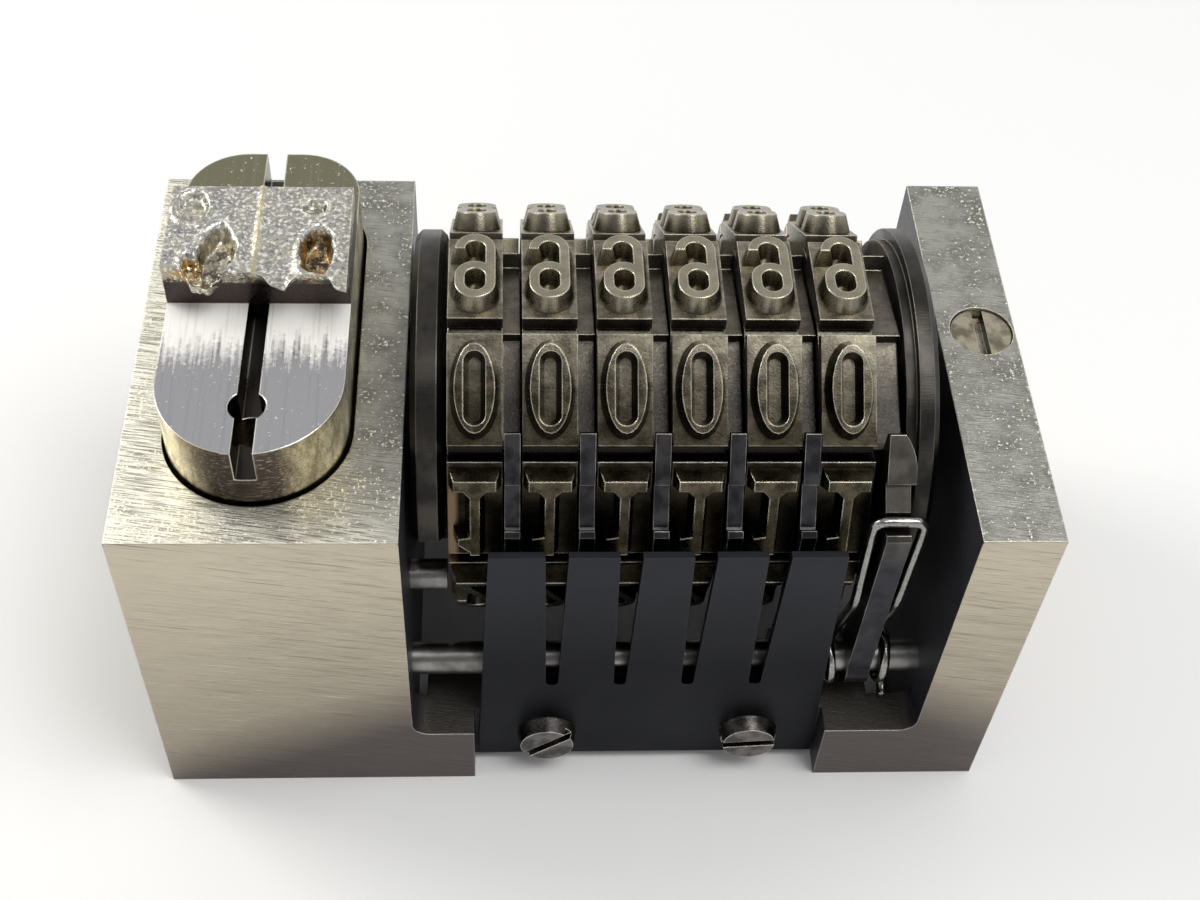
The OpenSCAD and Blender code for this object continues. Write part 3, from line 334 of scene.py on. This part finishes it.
# behind the comb the painted shade gives way to paler paint again
colour = coat(tree, colour, "#7c766a", z, *BEHIND_COMB, 0.55)
rub = add(tree, "MapRange", ink, 0.35, 0.6, 1.0, 0.4)
rub = add(tree, "Math", edge, rub, operation="MULTIPLY")
colour = add(tree, "MixRGB", rub, colour, "#ddd6c2")
roughness = add(tree, "MapRange", fine, 0.3, 0.7, 0.24, 0.42)
close_metal(tree, colour, roughness, fine, 0.008, rounded)
dress(block_steel, *wheel_names)


# ---- Raised figures
# The figures are engraved out of the blocks with a tapered cutter, so their sides slope down to
# the block outside and in the counters. Paper rubs the faces, and their rims are painted bright as
# highlights.

FLANK = 0.21 * MM  # how far a side runs out at its foot
PROUD = 0.012 * MM  # the dressed face covers the solid one
FOOT = 0.15 * MM  # the figure's root, below the block's top


def lone(piece):
    """Selects one object and makes it the active one."""
    bpy.ops.object.select_all(action="DESELECT")
    piece.select_set(True)
    bpy.context.view_layer.objects.active = piece


def own_copy(thing, name):
    """A copy with its own mesh, on no parent."""
    made = thing.copy()
    made.data = thing.data.copy()
    made.name = name
    made.parent = None
    made.matrix_world = Matrix.Identity(4)
    bpy.context.scene.collection.objects.link(made)
    return made


# the rims of wheel 1's ten figures are taken off a merged copy of the wheel
blank = own_copy(nodes["wheel_1"], "blank")
lone(blank)
bpy.ops.object.mode_set(mode="EDIT")
bpy.ops.mesh.select_all(action="SELECT")
bpy.ops.mesh.remove_doubles(threshold=0.001 * MM)
centre = Matrix.Translation(SHAFT)
figures = []
for n in range(10):
    turn = Matrix.Rotation(math.radians(36 * n), 4, "X")
    away = turn @ Vector((0, 0, 1))
    bpy.ops.mesh.select_all(action="DESELECT")
    bpy.ops.mesh.select_mode(type="FACE")
    shape = bmesh.from_edit_mesh(blank.data)
    for face in shape.faces:
        height = (face.calc_center_median() - Vector(SHAFT)).dot(away)
        face.select = face.normal.dot(away) > 0.999 and height > BLOCK_TOP + RELIEF - 0.02 * MM
    shape.select_flush_mode()
    bmesh.update_edit_mesh(blank.data)
    bpy.ops.mesh.region_to_loop()
    bpy.ops.mesh.duplicate()
    bpy.ops.mesh.separate(type="SELECTED")
    rim = [thing for thing in bpy.context.selected_objects if thing != blank][0]
    rim.select_set(False)
    figures.append((rim, turn))
bpy.ops.object.mode_set(mode="OBJECT")

# each rim is laid flat, filled and sloped as a curve, and set back on its block
for n, (rim, turn) in enumerate(figures):
    lone(rim)
    lay_flat = Matrix.Translation((0, 0, -BLOCK_TOP - RELIEF)) @ turn.inverted() @ centre.inverted()
    rim.matrix_world = lay_flat
    bpy.ops.object.transform_apply(location=True, rotation=True, scale=True)
    bpy.ops.object.convert(target="CURVE")
    rim = bpy.context.object
    rim.data.dimensions = "2D"
    rim.data.fill_mode = "BOTH"
    rim.data.bevel_depth = FLANK
    rim.data.bevel_resolution = 0
    bpy.ops.object.convert(target="MESH")
    rim = bpy.context.object
    bpy.ops.object.mode_set(mode="EDIT")
    bpy.ops.mesh.select_all(action="SELECT")
    bpy.ops.mesh.remove_doubles(threshold=0.002 * MM)
    bpy.ops.mesh.normals_make_consistent(inside=False)
    # the fill stands a flank's width above and below; both sides go to their own heights
    bpy.ops.mesh.select_mode(type="VERT")
    for side, lift in ((1, RELIEF + PROUD - FLANK), (-1, FLANK - FOOT)):
        bpy.ops.mesh.select_all(action="DESELECT")
        shape = bmesh.from_edit_mesh(rim.data)
        for vertex in shape.verts:
            vertex.select = vertex.co.z * side > FLANK / 2
        shape.select_flush_mode()
        bmesh.update_edit_mesh(rim.data)
        bpy.ops.transform.translate(value=(0, 0, lift))
    bpy.ops.object.mode_set(mode="OBJECT")
    rim.matrix_world = centre @ turn @ Matrix.Translation((0, 0, BLOCK_TOP))
    bpy.ops.object.transform_apply(location=True, rotation=True, scale=True)
    figures[n] = rim
bpy.data.objects.remove(blank)
bpy.ops.object.select_all(action="DESELECT")
for rim in figures:
    rim.select_set(True)
bpy.context.view_layer.objects.active = figures[0]
bpy.ops.object.join()
raised = bpy.context.object

# rubbed figure steel: as the blocks, paler faces, rims painted bright as highlights, painted light
# and shade
figure_steel, tree, coords = new_metal("rubbed_figure_steel")
_, y, z = add(tree, "SeparateXYZ", coords.outputs["Object"]).outputs
radius, outward = from_shaft(tree, coords)
ink = marks(tree, coords, 0.7, 4.0, 0.65)
fine = marks(tree, coords, 0.08, 3.0, 0.6)
rounded, edge = worn_edges(tree, 0.1)
face = add(tree, "MapRange", radius, BLOCK_TOP + 0.5 * RELIEF, BLOCK_TOP + 0.9 * RELIEF)
face = add(tree, "Math", face, add(tree, "MapRange", outward, 0.8, 0.95), operation="MULTIPLY")
face_colour = coat(tree, "#8f897a", "#565248", ink, 0.38, 0.62)
colour = coat(tree, "#6a6558", "#3b3731", ink, 0.4, 0.62)
colour = add(tree, "MixRGB", face, colour, face_colour)
# painted light at the back and on the top figures, painted shade on the lower ones
colour = coat(tree, colour, "#b5ad97", y, *LIT_REAR, 0.6)
colour = coat(tree, colour, "#b7b09b", z, 22.2 * MM, 23.0 * MM, 0.5)
colour = coat(tree, colour, "#a8a296", z, 22.6 * MM, 21.6 * MM, 0.9, "MULTIPLY")
colour = coat(tree, colour, "#8d887e", z, *SHADED, 0.8, "MULTIPLY")
colour = coat(tree, colour, "#968f7f", z, *BEHIND_COMB, 0.55)
# the rims are rubbed, and painted near white as highlights
worn_rim_highlight = add(tree, "MapRange", radius, BLOCK_TOP + 0.6 * RELIEF, BLOCK_TOP + 0.9 * RELIEF)
worn_rim_highlight = add(tree, "Math", edge, worn_rim_highlight, operation="MULTIPLY")
dull = add(tree, "MapRange", ink, 0.3, 0.65, 1.0, 0.5)
worn_rim_highlight = add(tree, "Math", worn_rim_highlight, dull, operation="MULTIPLY")
colour = add(tree, "MixRGB", worn_rim_highlight, colour, "#efe8d2")
roughness = add(tree, "MapRange", fine, 0.3, 0.7, 0.2, 0.36)
close_metal(tree, colour, roughness, fine, 0.006, rounded)
raised.data.materials.clear()
raised.data.materials.append(figure_steel)
for i, name in enumerate(wheel_names):
    piece = raised if i == 0 else own_copy(raised, "figures")
    piece.name = f"figures_{i + 1}"
    if i:
        piece.matrix_world = Matrix.Translation((i * WHEEL_PITCH, 0, 0))
        lone(piece)
        bpy.ops.object.transform_apply(location=True, rotation=True, scale=True)
    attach(piece, name + "_body")


# ---- Swing arms and collar
# Two plates cut from sheet, turned round the shaft by the plunger's stud, and a collar turned from
# bar that keeps the right plate off the end wall. They run in oil.

# oiled plate steel: nearly black and smooth, with a bevel that is rubbed a little bright
plate_steel, tree, coords = new_metal("oiled_plate_steel")
rings = marks(tree, coords, (1.2, 0.07, 0.07), 3.0, 0.6)
film = marks(tree, coords, 1.6, 4.0)
rounded, edge = worn_edges(tree, 0.07)
colour = coat(tree, "#45423e", "#302e2c", film, 0.4, 0.62)
colour = coat(tree, colour, "#a8a397", edge, 0, 1, 0.6)
roughness = add(tree, "MapRange", film, 0.3, 0.7, 0.28, 0.42)
close_metal(tree, colour, roughness, rings, 0.008, rounded)
dress(plate_steel, "left_swing_arm", "right_swing_arm", "spacer_collar")


# ---- Pawls
# Stamped from hard strip and hung on the rod and on the swing's bar. Their arms, low in the bay, are
# painted darker than their heads, as painted shade.

# stamped steel: smooth dark faces and a bright burr along the edges
pawl_steel, tree, coords = new_metal("stamped_pawl_steel")
x, _, z = add(tree, "SeparateXYZ", coords.outputs["Object"]).outputs
strip_marks = marks(tree, coords, (0.05, 0.05, 1.5), 3.0, 0.6)
film = marks(tree, coords, 0.8)
rounded, edge = worn_edges(tree, 0.05)
narrow_head = coat(tree, "#434244", "#2c2b2d", film, 0.4, 0.62)
wide_head = coat(tree, "#605c56", "#4b4844", film, 0.4, 0.62)
head_colour = coat(tree, narrow_head, wide_head, x, 12 * MM, 12.2 * MM)
colour = coat(tree, "#34343a", "#29292e", film, 0.4, 0.62)
# painted shade: the arms below the heads are darker
colour = coat(tree, colour, head_colour, z, 15 * MM, 17.5 * MM)
burr = add(tree, "MapRange", film, 0.4, 0.6, 1.0, 0.4)
burr = add(tree, "Math", edge, burr, operation="MULTIPLY")
colour = add(tree, "MixRGB", burr, colour, "#d6d2c6")
roughness = add(tree, "MapRange", film, 0.3, 0.7, 0.26, 0.4)
close_metal(tree, colour, roughness, strip_marks, 0.005, rounded)
dress(pawl_steel, "drive_pawl", "pawl_1", "pawl_2", "pawl_3", "pawl_4", "pawl_5", "units_pawl")


# ---- Wire springs
# Music wire, drawn bright and wound cold. The solids' wires have six sides, so here modifiers round
# them and then fill them out to their own diameters again.

# bright music wire: light grey and glossy; its die marks are drawn coarser than the real ones
music_wire, tree, coords = new_metal("bright_music_wire")
die_marks = marks(tree, coords, 0.08)
colour = coat(tree, "#a3a29e", "#7a7875", die_marks, 0.4, 0.7)
close_metal(tree, colour, 0.2, die_marks, 0.003)
for name, wire_mm in (
    ("plunger_spring_front", 0.45),
    ("plunger_spring_rear", 0.45),
    ("drive_pawl_spring", 0.36),
    ("units_pawl_spring", 0.48),
):
    dress(music_wire, name)
    joined = nodes[name].modifiers.new("join_the_triangles", "WELD")
    joined.merge_threshold = 0.001 * MM
    rounding = nodes[name].modifiers.new("round_the_wire", "SUBSURF")
    rounding.levels = rounding.render_levels = 2
    smoothed = nodes[name].modifiers.new("smooth_the_wire", "REMESH")
    smoothed.mode = "VOXEL"
    smoothed.voxel_size = wire_mm / 11 * MM
    smoothed.use_smooth_shade = True
    filled = nodes[name].modifiers.new("keep_the_diameter", "DISPLACE")
    filled.mid_level = 0
    filled.strength = wire_mm / 16 * MM


# ---- Comb spring
# One leaf of spring steel, slotted into fingers and blackened by its tempering. It is darker towards
# the foot, and the free fingers are a little paler.

# blackened spring steel: blue black and satin, with faint lines from rolling
black_spring_steel, tree, coords = new_metal("blackened_spring_steel")
z = add(tree, "SeparateXYZ", coords.outputs["Object"]).outputs["Z"]
rolling = marks(tree, coords, (5.0, 0.06, 0.06), 3.0, 0.6)
patches = marks(tree, coords, 3.0, 2.0)
rounded, edge = worn_edges(tree, 0.04)
paler_upwards = add(tree, "MapRange", z, 8 * MM, 15 * MM, -0.15, 0.85)
paler_upwards = add(tree, "Math", patches, 0.3, paler_upwards, operation="MULTIPLY_ADD")
colour = coat(tree, "#191a1e", "#323338", paler_upwards, 0, 1)
colour = coat(tree, colour, "#131417", rolling, 0.55, 0.75, 0.25)
colour = coat(tree, colour, "#606166", edge, 0, 1, 0.35)
roughness = add(tree, "MapRange", patches, 0.3, 0.7, 0.4, 0.5)
close_metal(tree, colour, roughness, rolling, 0.003, rounded)
dress(black_spring_steel, "comb_spring")


# ---- Plunger
# A steel block milled across its top, which leaves fine lines front to back. Behind the slug its top
# is painted dark olive as shade, and in front of the slug it is rubbed and painted white as a
# reflection.

# painted shade behind the slug, between these depths
SHADE_OF_SLUG = (3.0 * MM, 4.5 * MM)  # depths between which the top turns dark, backwards
SAW_HOLE_Y = -6.05 * MM

# milled steel: blue grey; painted white reflections on the rubbed top and straw ones on the sides
milled_steel, tree, coords = new_metal("milled_plunger_steel")
x, y, z = add(tree, "SeparateXYZ", coords.outputs["Object"]).outputs
normal_x, _, normal_z = add(tree, "SeparateXYZ", coords.outputs["Normal"]).outputs
up = add(tree, "MapRange", normal_z, 0.6, 0.8)
mill_lines = marks(tree, coords, (0.15, 9.0, 0.15), 2.0, 0.5, (0, 0, 1))
side_lines = marks(tree, coords, (3.0, 0.07, 0.07), 3.0, 0.6)
smears = marks(tree, coords, (0.9, 0.9, 2.2), 3.0, 0.6)
specks = marks(tree, coords, 0.16, 3.0, 0.6)
rounded, edge = worn_edges(tree, 0.1)
# in front of the slug the top is rubbed, and painted white as a reflection in streaks
wear_and_glare = add(tree, "Math", mill_lines, 3.6 * MM, y, operation="MULTIPLY_ADD")
wear_and_glare = add(tree, "Math", specks, 2.0 * MM, wear_and_glare, operation="MULTIPLY_ADD")
rubbed_and_glare = add(tree, "MapRange", wear_and_glare, -1.1 * MM, 0.4 * MM)
painted_plunger_glints = add(tree, "Math", rubbed_and_glare, 0.04, specks, operation="MULTIPLY_ADD")
shaded_rear = add(tree, "MapRange", y, *SHADE_OF_SLUG, 0, 0.05)
painted_plunger_glints = add(tree, "Math", painted_plunger_glints, shaded_rear, operation="SUBTRACT")
top_colour = add(tree, "MixRGB", rubbed_and_glare, "#b5b4b7", "#fbf9f4")
# painted shade: dark olive behind the slug
top_colour = coat(tree, top_colour, "#65634b", y, *SHADE_OF_SLUG)
top_colour = coat(tree, top_colour, "#7d7b77", mill_lines, 0.55, 0.7, 0.2)
# painted glints: white specks on the top
top_colour = coat(tree, top_colour, "#fffbea", painted_plunger_glints, 0.66, 0.71, 0.9)
# painted reflections in straw and white smears on the sides, and painted shade, dark brown, on the
# front and back
flank = add(tree, "Math", normal_x, operation="ABSOLUTE")
side_colour = coat(tree, "#f3e8bf", "#a99d7f", smears, 0.42, 0.56)
side_colour = coat(tree, "#4e4540", side_colour, flank, 0.35, 0.85)
side_colour = coat(tree, side_colour, "#3f3833", side_lines, 0.52, 0.66, 0.6)
side_colour = coat(tree, side_colour, "#cfc2ac", side_lines, 0.44, 0.34, 0.5)
colour = add(tree, "MixRGB", up, side_colour, top_colour)

# the saw cut and its hole are painted dark as shade, from the floor to just below the top
hole = (SAW_CUT_X, SAW_HOLE_Y, 0)
from_hole = add(tree, "VectorMath", coords.outputs["Object"], hole, operation="SUBTRACT")
from_hole = add(tree, "VectorMath", from_hole, (1, 1, 0), operation="MULTIPLY")
from_hole = add(tree, "VectorMath", from_hole, operation="LENGTH").outputs["Value"]
in_hole = add(tree, "Math", from_hole, 0.77 * MM, operation="LESS_THAN")
in_cut = add(tree, "Math", x, SAW_CUT_X, 0.44 * MM, operation="COMPARE")
in_cut = add(tree, "Math", in_cut, in_hole, operation="MAXIMUM")
for near, far in ((21.97, 21.9), (20.3, 20.35)):
    inside = add(tree, "MapRange", z, near * MM, far * MM)
    in_cut = add(tree, "Math", in_cut, inside, operation="MULTIPLY")
colour = add(tree, "MixRGB", in_cut, colour, "#3a3633")
colour = coat(tree, colour, "#fbf6e4", edge, 0, 1, 0.8)
worn_top = add(tree, "Math", up, rubbed_and_glare, operation="MULTIPLY")
roughness = add(tree, "MapRange", worn_top, 0, 1, 0.22, 0.6)
metallic = add(tree, "MapRange", worn_top, 0, 1, 1.0, 0.1)
relief = add(tree, "MixRGB", up, side_lines, mill_lines)
close_metal(tree, colour, roughness, relief, 0.006, rounded, metallic)
dress(milled_steel, "plunger")


# ---- Slug
# A block of type metal held by a tongue in the plunger's saw cut. It was cast, then filed bare, and
# use has half melted it: it has four pits, a seam across its middle and a lip that sags in front.

low, high = [Vector(corner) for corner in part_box("plunger_slug")]
SLUG_H = 2.15 * MM
STEPS = 9
TONGUE_HALF = 0.36 * MM
TONGUE_INSET = 0.6 * MM  # the tongue starts behind the slug's front
slug_foot = high.z - SLUG_H
middle = (low.x + high.x) / 2
bpy.ops.mesh.primitive_grid_add(x_subdivisions=100, y_subdivisions=64, size=1, location=(0, 0, 0))
slug = bpy.context.object
slug.name = "slug"
slug.scale = (high.x - low.x, high.y - low.y, 1)
slug.location = (middle, (low.y + high.y) / 2, slug_foot)
bpy.ops.object.transform_apply(location=True, rotation=True, scale=True)
bpy.ops.object.mode_set(mode="EDIT")
bpy.ops.mesh.select_all(action="SELECT")
for _ in range(STEPS):
    bpy.ops.mesh.extrude_region_move(TRANSFORM_OT_translate={"value": (0, 0, SLUG_H / STEPS)})
bpy.ops.mesh.select_all(action="DESELECT")
shape = bmesh.from_edit_mesh(slug.data)
for face in shape.faces:
    spot = face.calc_center_median()
    in_tongue = abs(spot.x - middle) < TONGUE_HALF and spot.y > low.y + TONGUE_INSET
    face.select = in_tongue and spot.z < slug_foot + 0.01 * MM
shape.select_flush_mode()
bmesh.update_edit_mesh(slug.data)
bpy.ops.mesh.extrude_region_move(TRANSFORM_OT_translate={"value": (0, 0, low.z - slug_foot)})
bpy.ops.mesh.select_all(action="SELECT")
bpy.ops.mesh.normals_make_consistent(inside=False)
bpy.ops.object.mode_set(mode="OBJECT")

# how far the lip sags forwards, from the left to the right of the slug (mm)
LIP = (
    (0, 0),
    (0.75, 0),
    (0.98, 0.28),
    (1.33, 0.9),
    (1.96, 1.05),
    (2.13, 0.73),
    (2.6, 0.28),
    (3.63, 0.28),
    (4.1, 0.43),
    (4.44, 0.9),
    (5.02, 1.13),
    (5.25, 0.73),
    (5.54, 0.43),
    (6.17, 0.35),
    (6.75, 0.58),
    (7.1, 1.05),
    (7.5, 1.2),
)
LIP_MOST = 1.25
# the pits: place from the left and from the front, both radii, depth (mm)
PITS = (
    (0.95, 3.4, 0.62, 0.85, 0.25),
    (2.15, 1.1, 0.74, 1.2, 0.75),
    (1.35, 0.4, 0.5, 0.75, 0.5),
    (6.2, 1.2, 0.66, 1.1, 0.8),
    (6.0, 3.45, 0.42, 0.4, 0.3),
)
PIT_MOST = 1.0
SEAM = 3.75  # from the left (mm)
FILED_BACK = 4.68  # from the front (mm)


def between(table, x):
    """Reads a table of points on straight lines."""
    for (x0, y0), (x1, y1) in zip(table, table[1:]):
        if x <= x1:
            return y0 + (y1 - y0) * max(0.0, x - x0) / (x1 - x0)
    return table[-1][1]


def eased(t):
    """Goes from 0 to 1 with t, starting and ending softly."""
    t = min(1.0, max(0.0, t))
    return t * t * (3 - 2 * t)


groups = {name: slug.vertex_groups.new(name=name) for name in ("lip", "pits", "rims", "skin")}
for vertex in slug.data.vertices:
    x, y = (vertex.co.x - low.x) / MM, (vertex.co.y - low.y) / MM
    depth = (high.z - vertex.co.z) / MM
    if depth > SLUG_H / MM + 0.01:
        continue
    wander = noise.noise(vertex.co / (0.45 * MM))
    sag = between(LIP, x + 0.08 * wander) / LIP_MOST * eased(1 - y / 2.6)
    groups["lip"].add([vertex.index], sag * eased(1 - depth / 1.15), "REPLACE")
    # its back was filed flat
    rugged = 0.3 if y > FILED_BACK else 1.0
    groups["skin"].add([vertex.index], eased(1 - depth / 1.6) * rugged, "REPLACE")
    if depth < 0.01:
        pit = rim = 0.0
        for px, py, rx, ry, pit_depth in PITS:
            far = math.hypot((x - px) / rx, (y - py) / ry) + 0.15 * wander
            pit = max(pit, pit_depth * (1 - eased((far - 0.72) / 0.36)))
            rim = max(rim, math.exp(-(((far - 1.22) / 0.16) ** 2)))
        seam = math.exp(-(((x - SEAM) / 0.11) ** 2)) * eased(y - 0.3)
        groups["pits"].add([vertex.index], pit / PIT_MOST, "REPLACE")
        groups["rims"].add([vertex.index], max(0.7 * rim, seam), "REPLACE")


def push(piece, group, axis, strength_mm, texture=None, middle_level=0.0):
    """Moves a group's vertices along an axis, evenly or by a texture."""
    move = piece.modifiers.new(group, "DISPLACE")
    move.vertex_group = group
    move.direction = axis
    move.strength = strength_mm * MM
    move.mid_level = middle_level
    if texture is not None:
        move.texture = texture
        move.texture_coords = "LOCAL"
    lone(piece)
    bpy.ops.object.modifier_apply(modifier=move.name)


crust = bpy.data.textures.new("cast_crust", "CLOUDS")
crust.noise_scale = 0.42 * MM
crust.noise_depth = 3
push(slug, "pits", "Z", -PIT_MOST)
push(slug, "rims", "Z", 0.10)
push(slug, "lip", "Y", -LIP_MOST)
push(slug, "lip", "Z", -0.22)
push(slug, "skin", "Z", 0.07, crust, 0.5)
push(slug, "skin", "Y", 0.05, crust, 0.5)
slug.vertex_groups.clear()
lone(slug)
bpy.ops.object.shade_smooth_by_angle(angle=math.radians(50))

# pitted type metal: cast grain with painted glints, scorched brown in two pits and dull in the others
cast_slug, tree, coords = new_metal("pitted_type_metal")
x, _, z = add(tree, "SeparateXYZ", coords.outputs["Object"]).outputs
crystals = marks(tree, coords, 0.17, 3.0, 0.65)
pits = marks(tree, coords, 0.6, 4.0, 0.7)
rounded, edge = worn_edges(tree, 0.07)
colour = coat(tree, "#9b9a9c", "#c3bfb1", pits, 0.35, 0.65)
colour = coat(tree, colour, "#615d56", crystals, 0.42, 0.34, 0.7)
# painted glints: white sparkles of the grain
colour = coat(tree, colour, "#fffcf0", crystals, 0.54, 0.58)
burnt = coat(tree, "#4f3a24", "#c49a52", pits, 0.42, 0.58)
dull = coat(tree, "#5d5852", "#c3bcaa", pits, 0.42, 0.58)
scorch = 0.0
for px, py, reach in ((1.15, 0.2, 1.1), (6.2, 0.9, 1.7)):
    spot = (low.x + px * MM, low.y + py * MM, high.z)
    far = add(tree, "VectorMath", coords.outputs["Object"], spot, operation="DISTANCE")
    near = add(tree, "MapRange", far.outputs["Value"], reach * MM, 0.5 * reach * MM)
    scorch = add(tree, "Math", scorch, near, operation="MAXIMUM")
burnt = add(tree, "MixRGB", scorch, dull, burnt)
# painted glints in the pits
burnt = coat(tree, burnt, "#f6efd2", crystals, 0.54, 0.62)
colour = coat(tree, colour, burnt, z, high.z - 0.12 * MM, high.z - 0.4 * MM)
from_seam = add(tree, "Math", x, low.x + SEAM * MM, operation="SUBTRACT")
from_seam = add(tree, "Math", from_seam, operation="ABSOLUTE")
colour = coat(tree, colour, "#cdbf95", from_seam, 0.16 * MM, 0.06 * MM, 0.6)
colour = coat(tree, colour, "#4a4240", z, high.z - 0.75 * MM, high.z - 1.0 * MM)
colour = coat(tree, colour, "#e8e4d6", edge, 0, 1, 0.6)
roughness = add(tree, "MapRange", crystals, 0.35, 0.65, 0.4, 0.22)
close_metal(tree, colour, roughness, crystals, 0.03, rounded)
slug.data.materials.clear()
slug.data.materials.append(cast_slug)
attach(slug, "plunger_group")
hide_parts("plunger_slug")


# ---- Stage: table, room, lamps and camera
# A pale painted table in a white room, lit softly from above and behind.

bpy.ops.mesh.primitive_plane_add(size=2.0, location=(0, 0, 0))
table = bpy.context.object
table.name = "table"
# matt paint: nearly white, with a soft shadow and no mirror
table_paint = bpy.data.materials.new("pale_table")
table_paint.use_nodes = True
tree = table_paint.node_tree
tree.nodes.clear()
paint = add(tree, "BsdfPrincipled", Base_Color="#fafaf9", Roughness=0.7)
add(tree, "OutputMaterial", Surface=paint)
table.data.materials.append(table_paint)
bpy.ops.object.select_all(action="DESELECT")

# one room for the eye and for the metal: white all round, with a dimmer ceiling over the table
room = bpy.data.worlds.new("room")
bpy.context.scene.world = room
room.use_nodes = True
tree = room.node_tree
tree.nodes.clear()
path = add(tree, "LightPath").outputs
shown = add(tree, "Math", path["Is Camera Ray"], path["Is Transmission Ray"], operation="MAXIMUM")
shown = add(tree, "Math", shown, path["Is Glossy Ray"], operation="MAXIMUM")
shown = add(tree, "Math", shown, 0.25, 0.75, operation="MULTIPLY_ADD")
sky = add(tree, "TexCoord").outputs["Generated"]
height = add(tree, "SeparateXYZ", sky).outputs["Z"]
over = add(tree, "VectorMath", sky, (0.0, -0.62, 0.78), operation="DOT_PRODUCT").outputs["Value"]
ceiling = add(
    tree,
    "Math",
    add(tree, "MapRange", height, 0.35, 0.65, 1.0, 0.7),
    add(tree, "MapRange", over, 0.5, 0.95, 1.0, 0.4),
    operation="MULTIPLY",
)
walls = add(tree, "MapRange", height, 0.45, 0.3)
strength = add(tree, "Math", ceiling, walls, operation="MAXIMUM")
strength = add(tree, "Math", strength, shown, operation="MULTIPLY")
light = add(tree, "Background", Color="#ffffff", Strength=strength)
add(tree, "OutputWorld", Surface=light)


def lamp(name, where, aim, size, power, colour=(1, 1, 1)):
    """A square soft lamp."""
    light = bpy.data.lights.new(name, "AREA")
    light.size = size
    light.energy = power
    light.color = colour
    holder = bpy.data.objects.new(name, light)
    bpy.context.scene.collection.objects.link(holder)
    holder.location = where
    holder.rotation_euler = (Vector(aim) - Vector(where)).to_track_quat("-Z", "Y").to_euler()


lamp("window", (-0.17, 0.08, 0.16), (0, 0, 0.01), 0.10, 0.2, (1.0, 0.98, 0.94))
lamp("ceiling", (0.10, -0.05, 0.28), (0, 0, 0.01), 0.16, 0.42)

camera = bpy.data.cameras.new("camera")
camera.lens = 51.48
camera.sensor_width = 36
camera.clip_start = 0.002
eye = bpy.data.objects.new("camera", camera)
bpy.context.scene.collection.objects.link(eye)
eye.location = (-0.00357, -0.05011, 0.07355)
eye.rotation_euler = [math.radians(angle) for angle in (39.118, -2.557, -2.030)]
bpy.context.scene.camera = eye
bpy.context.scene.view_settings.view_transform = "Standard"
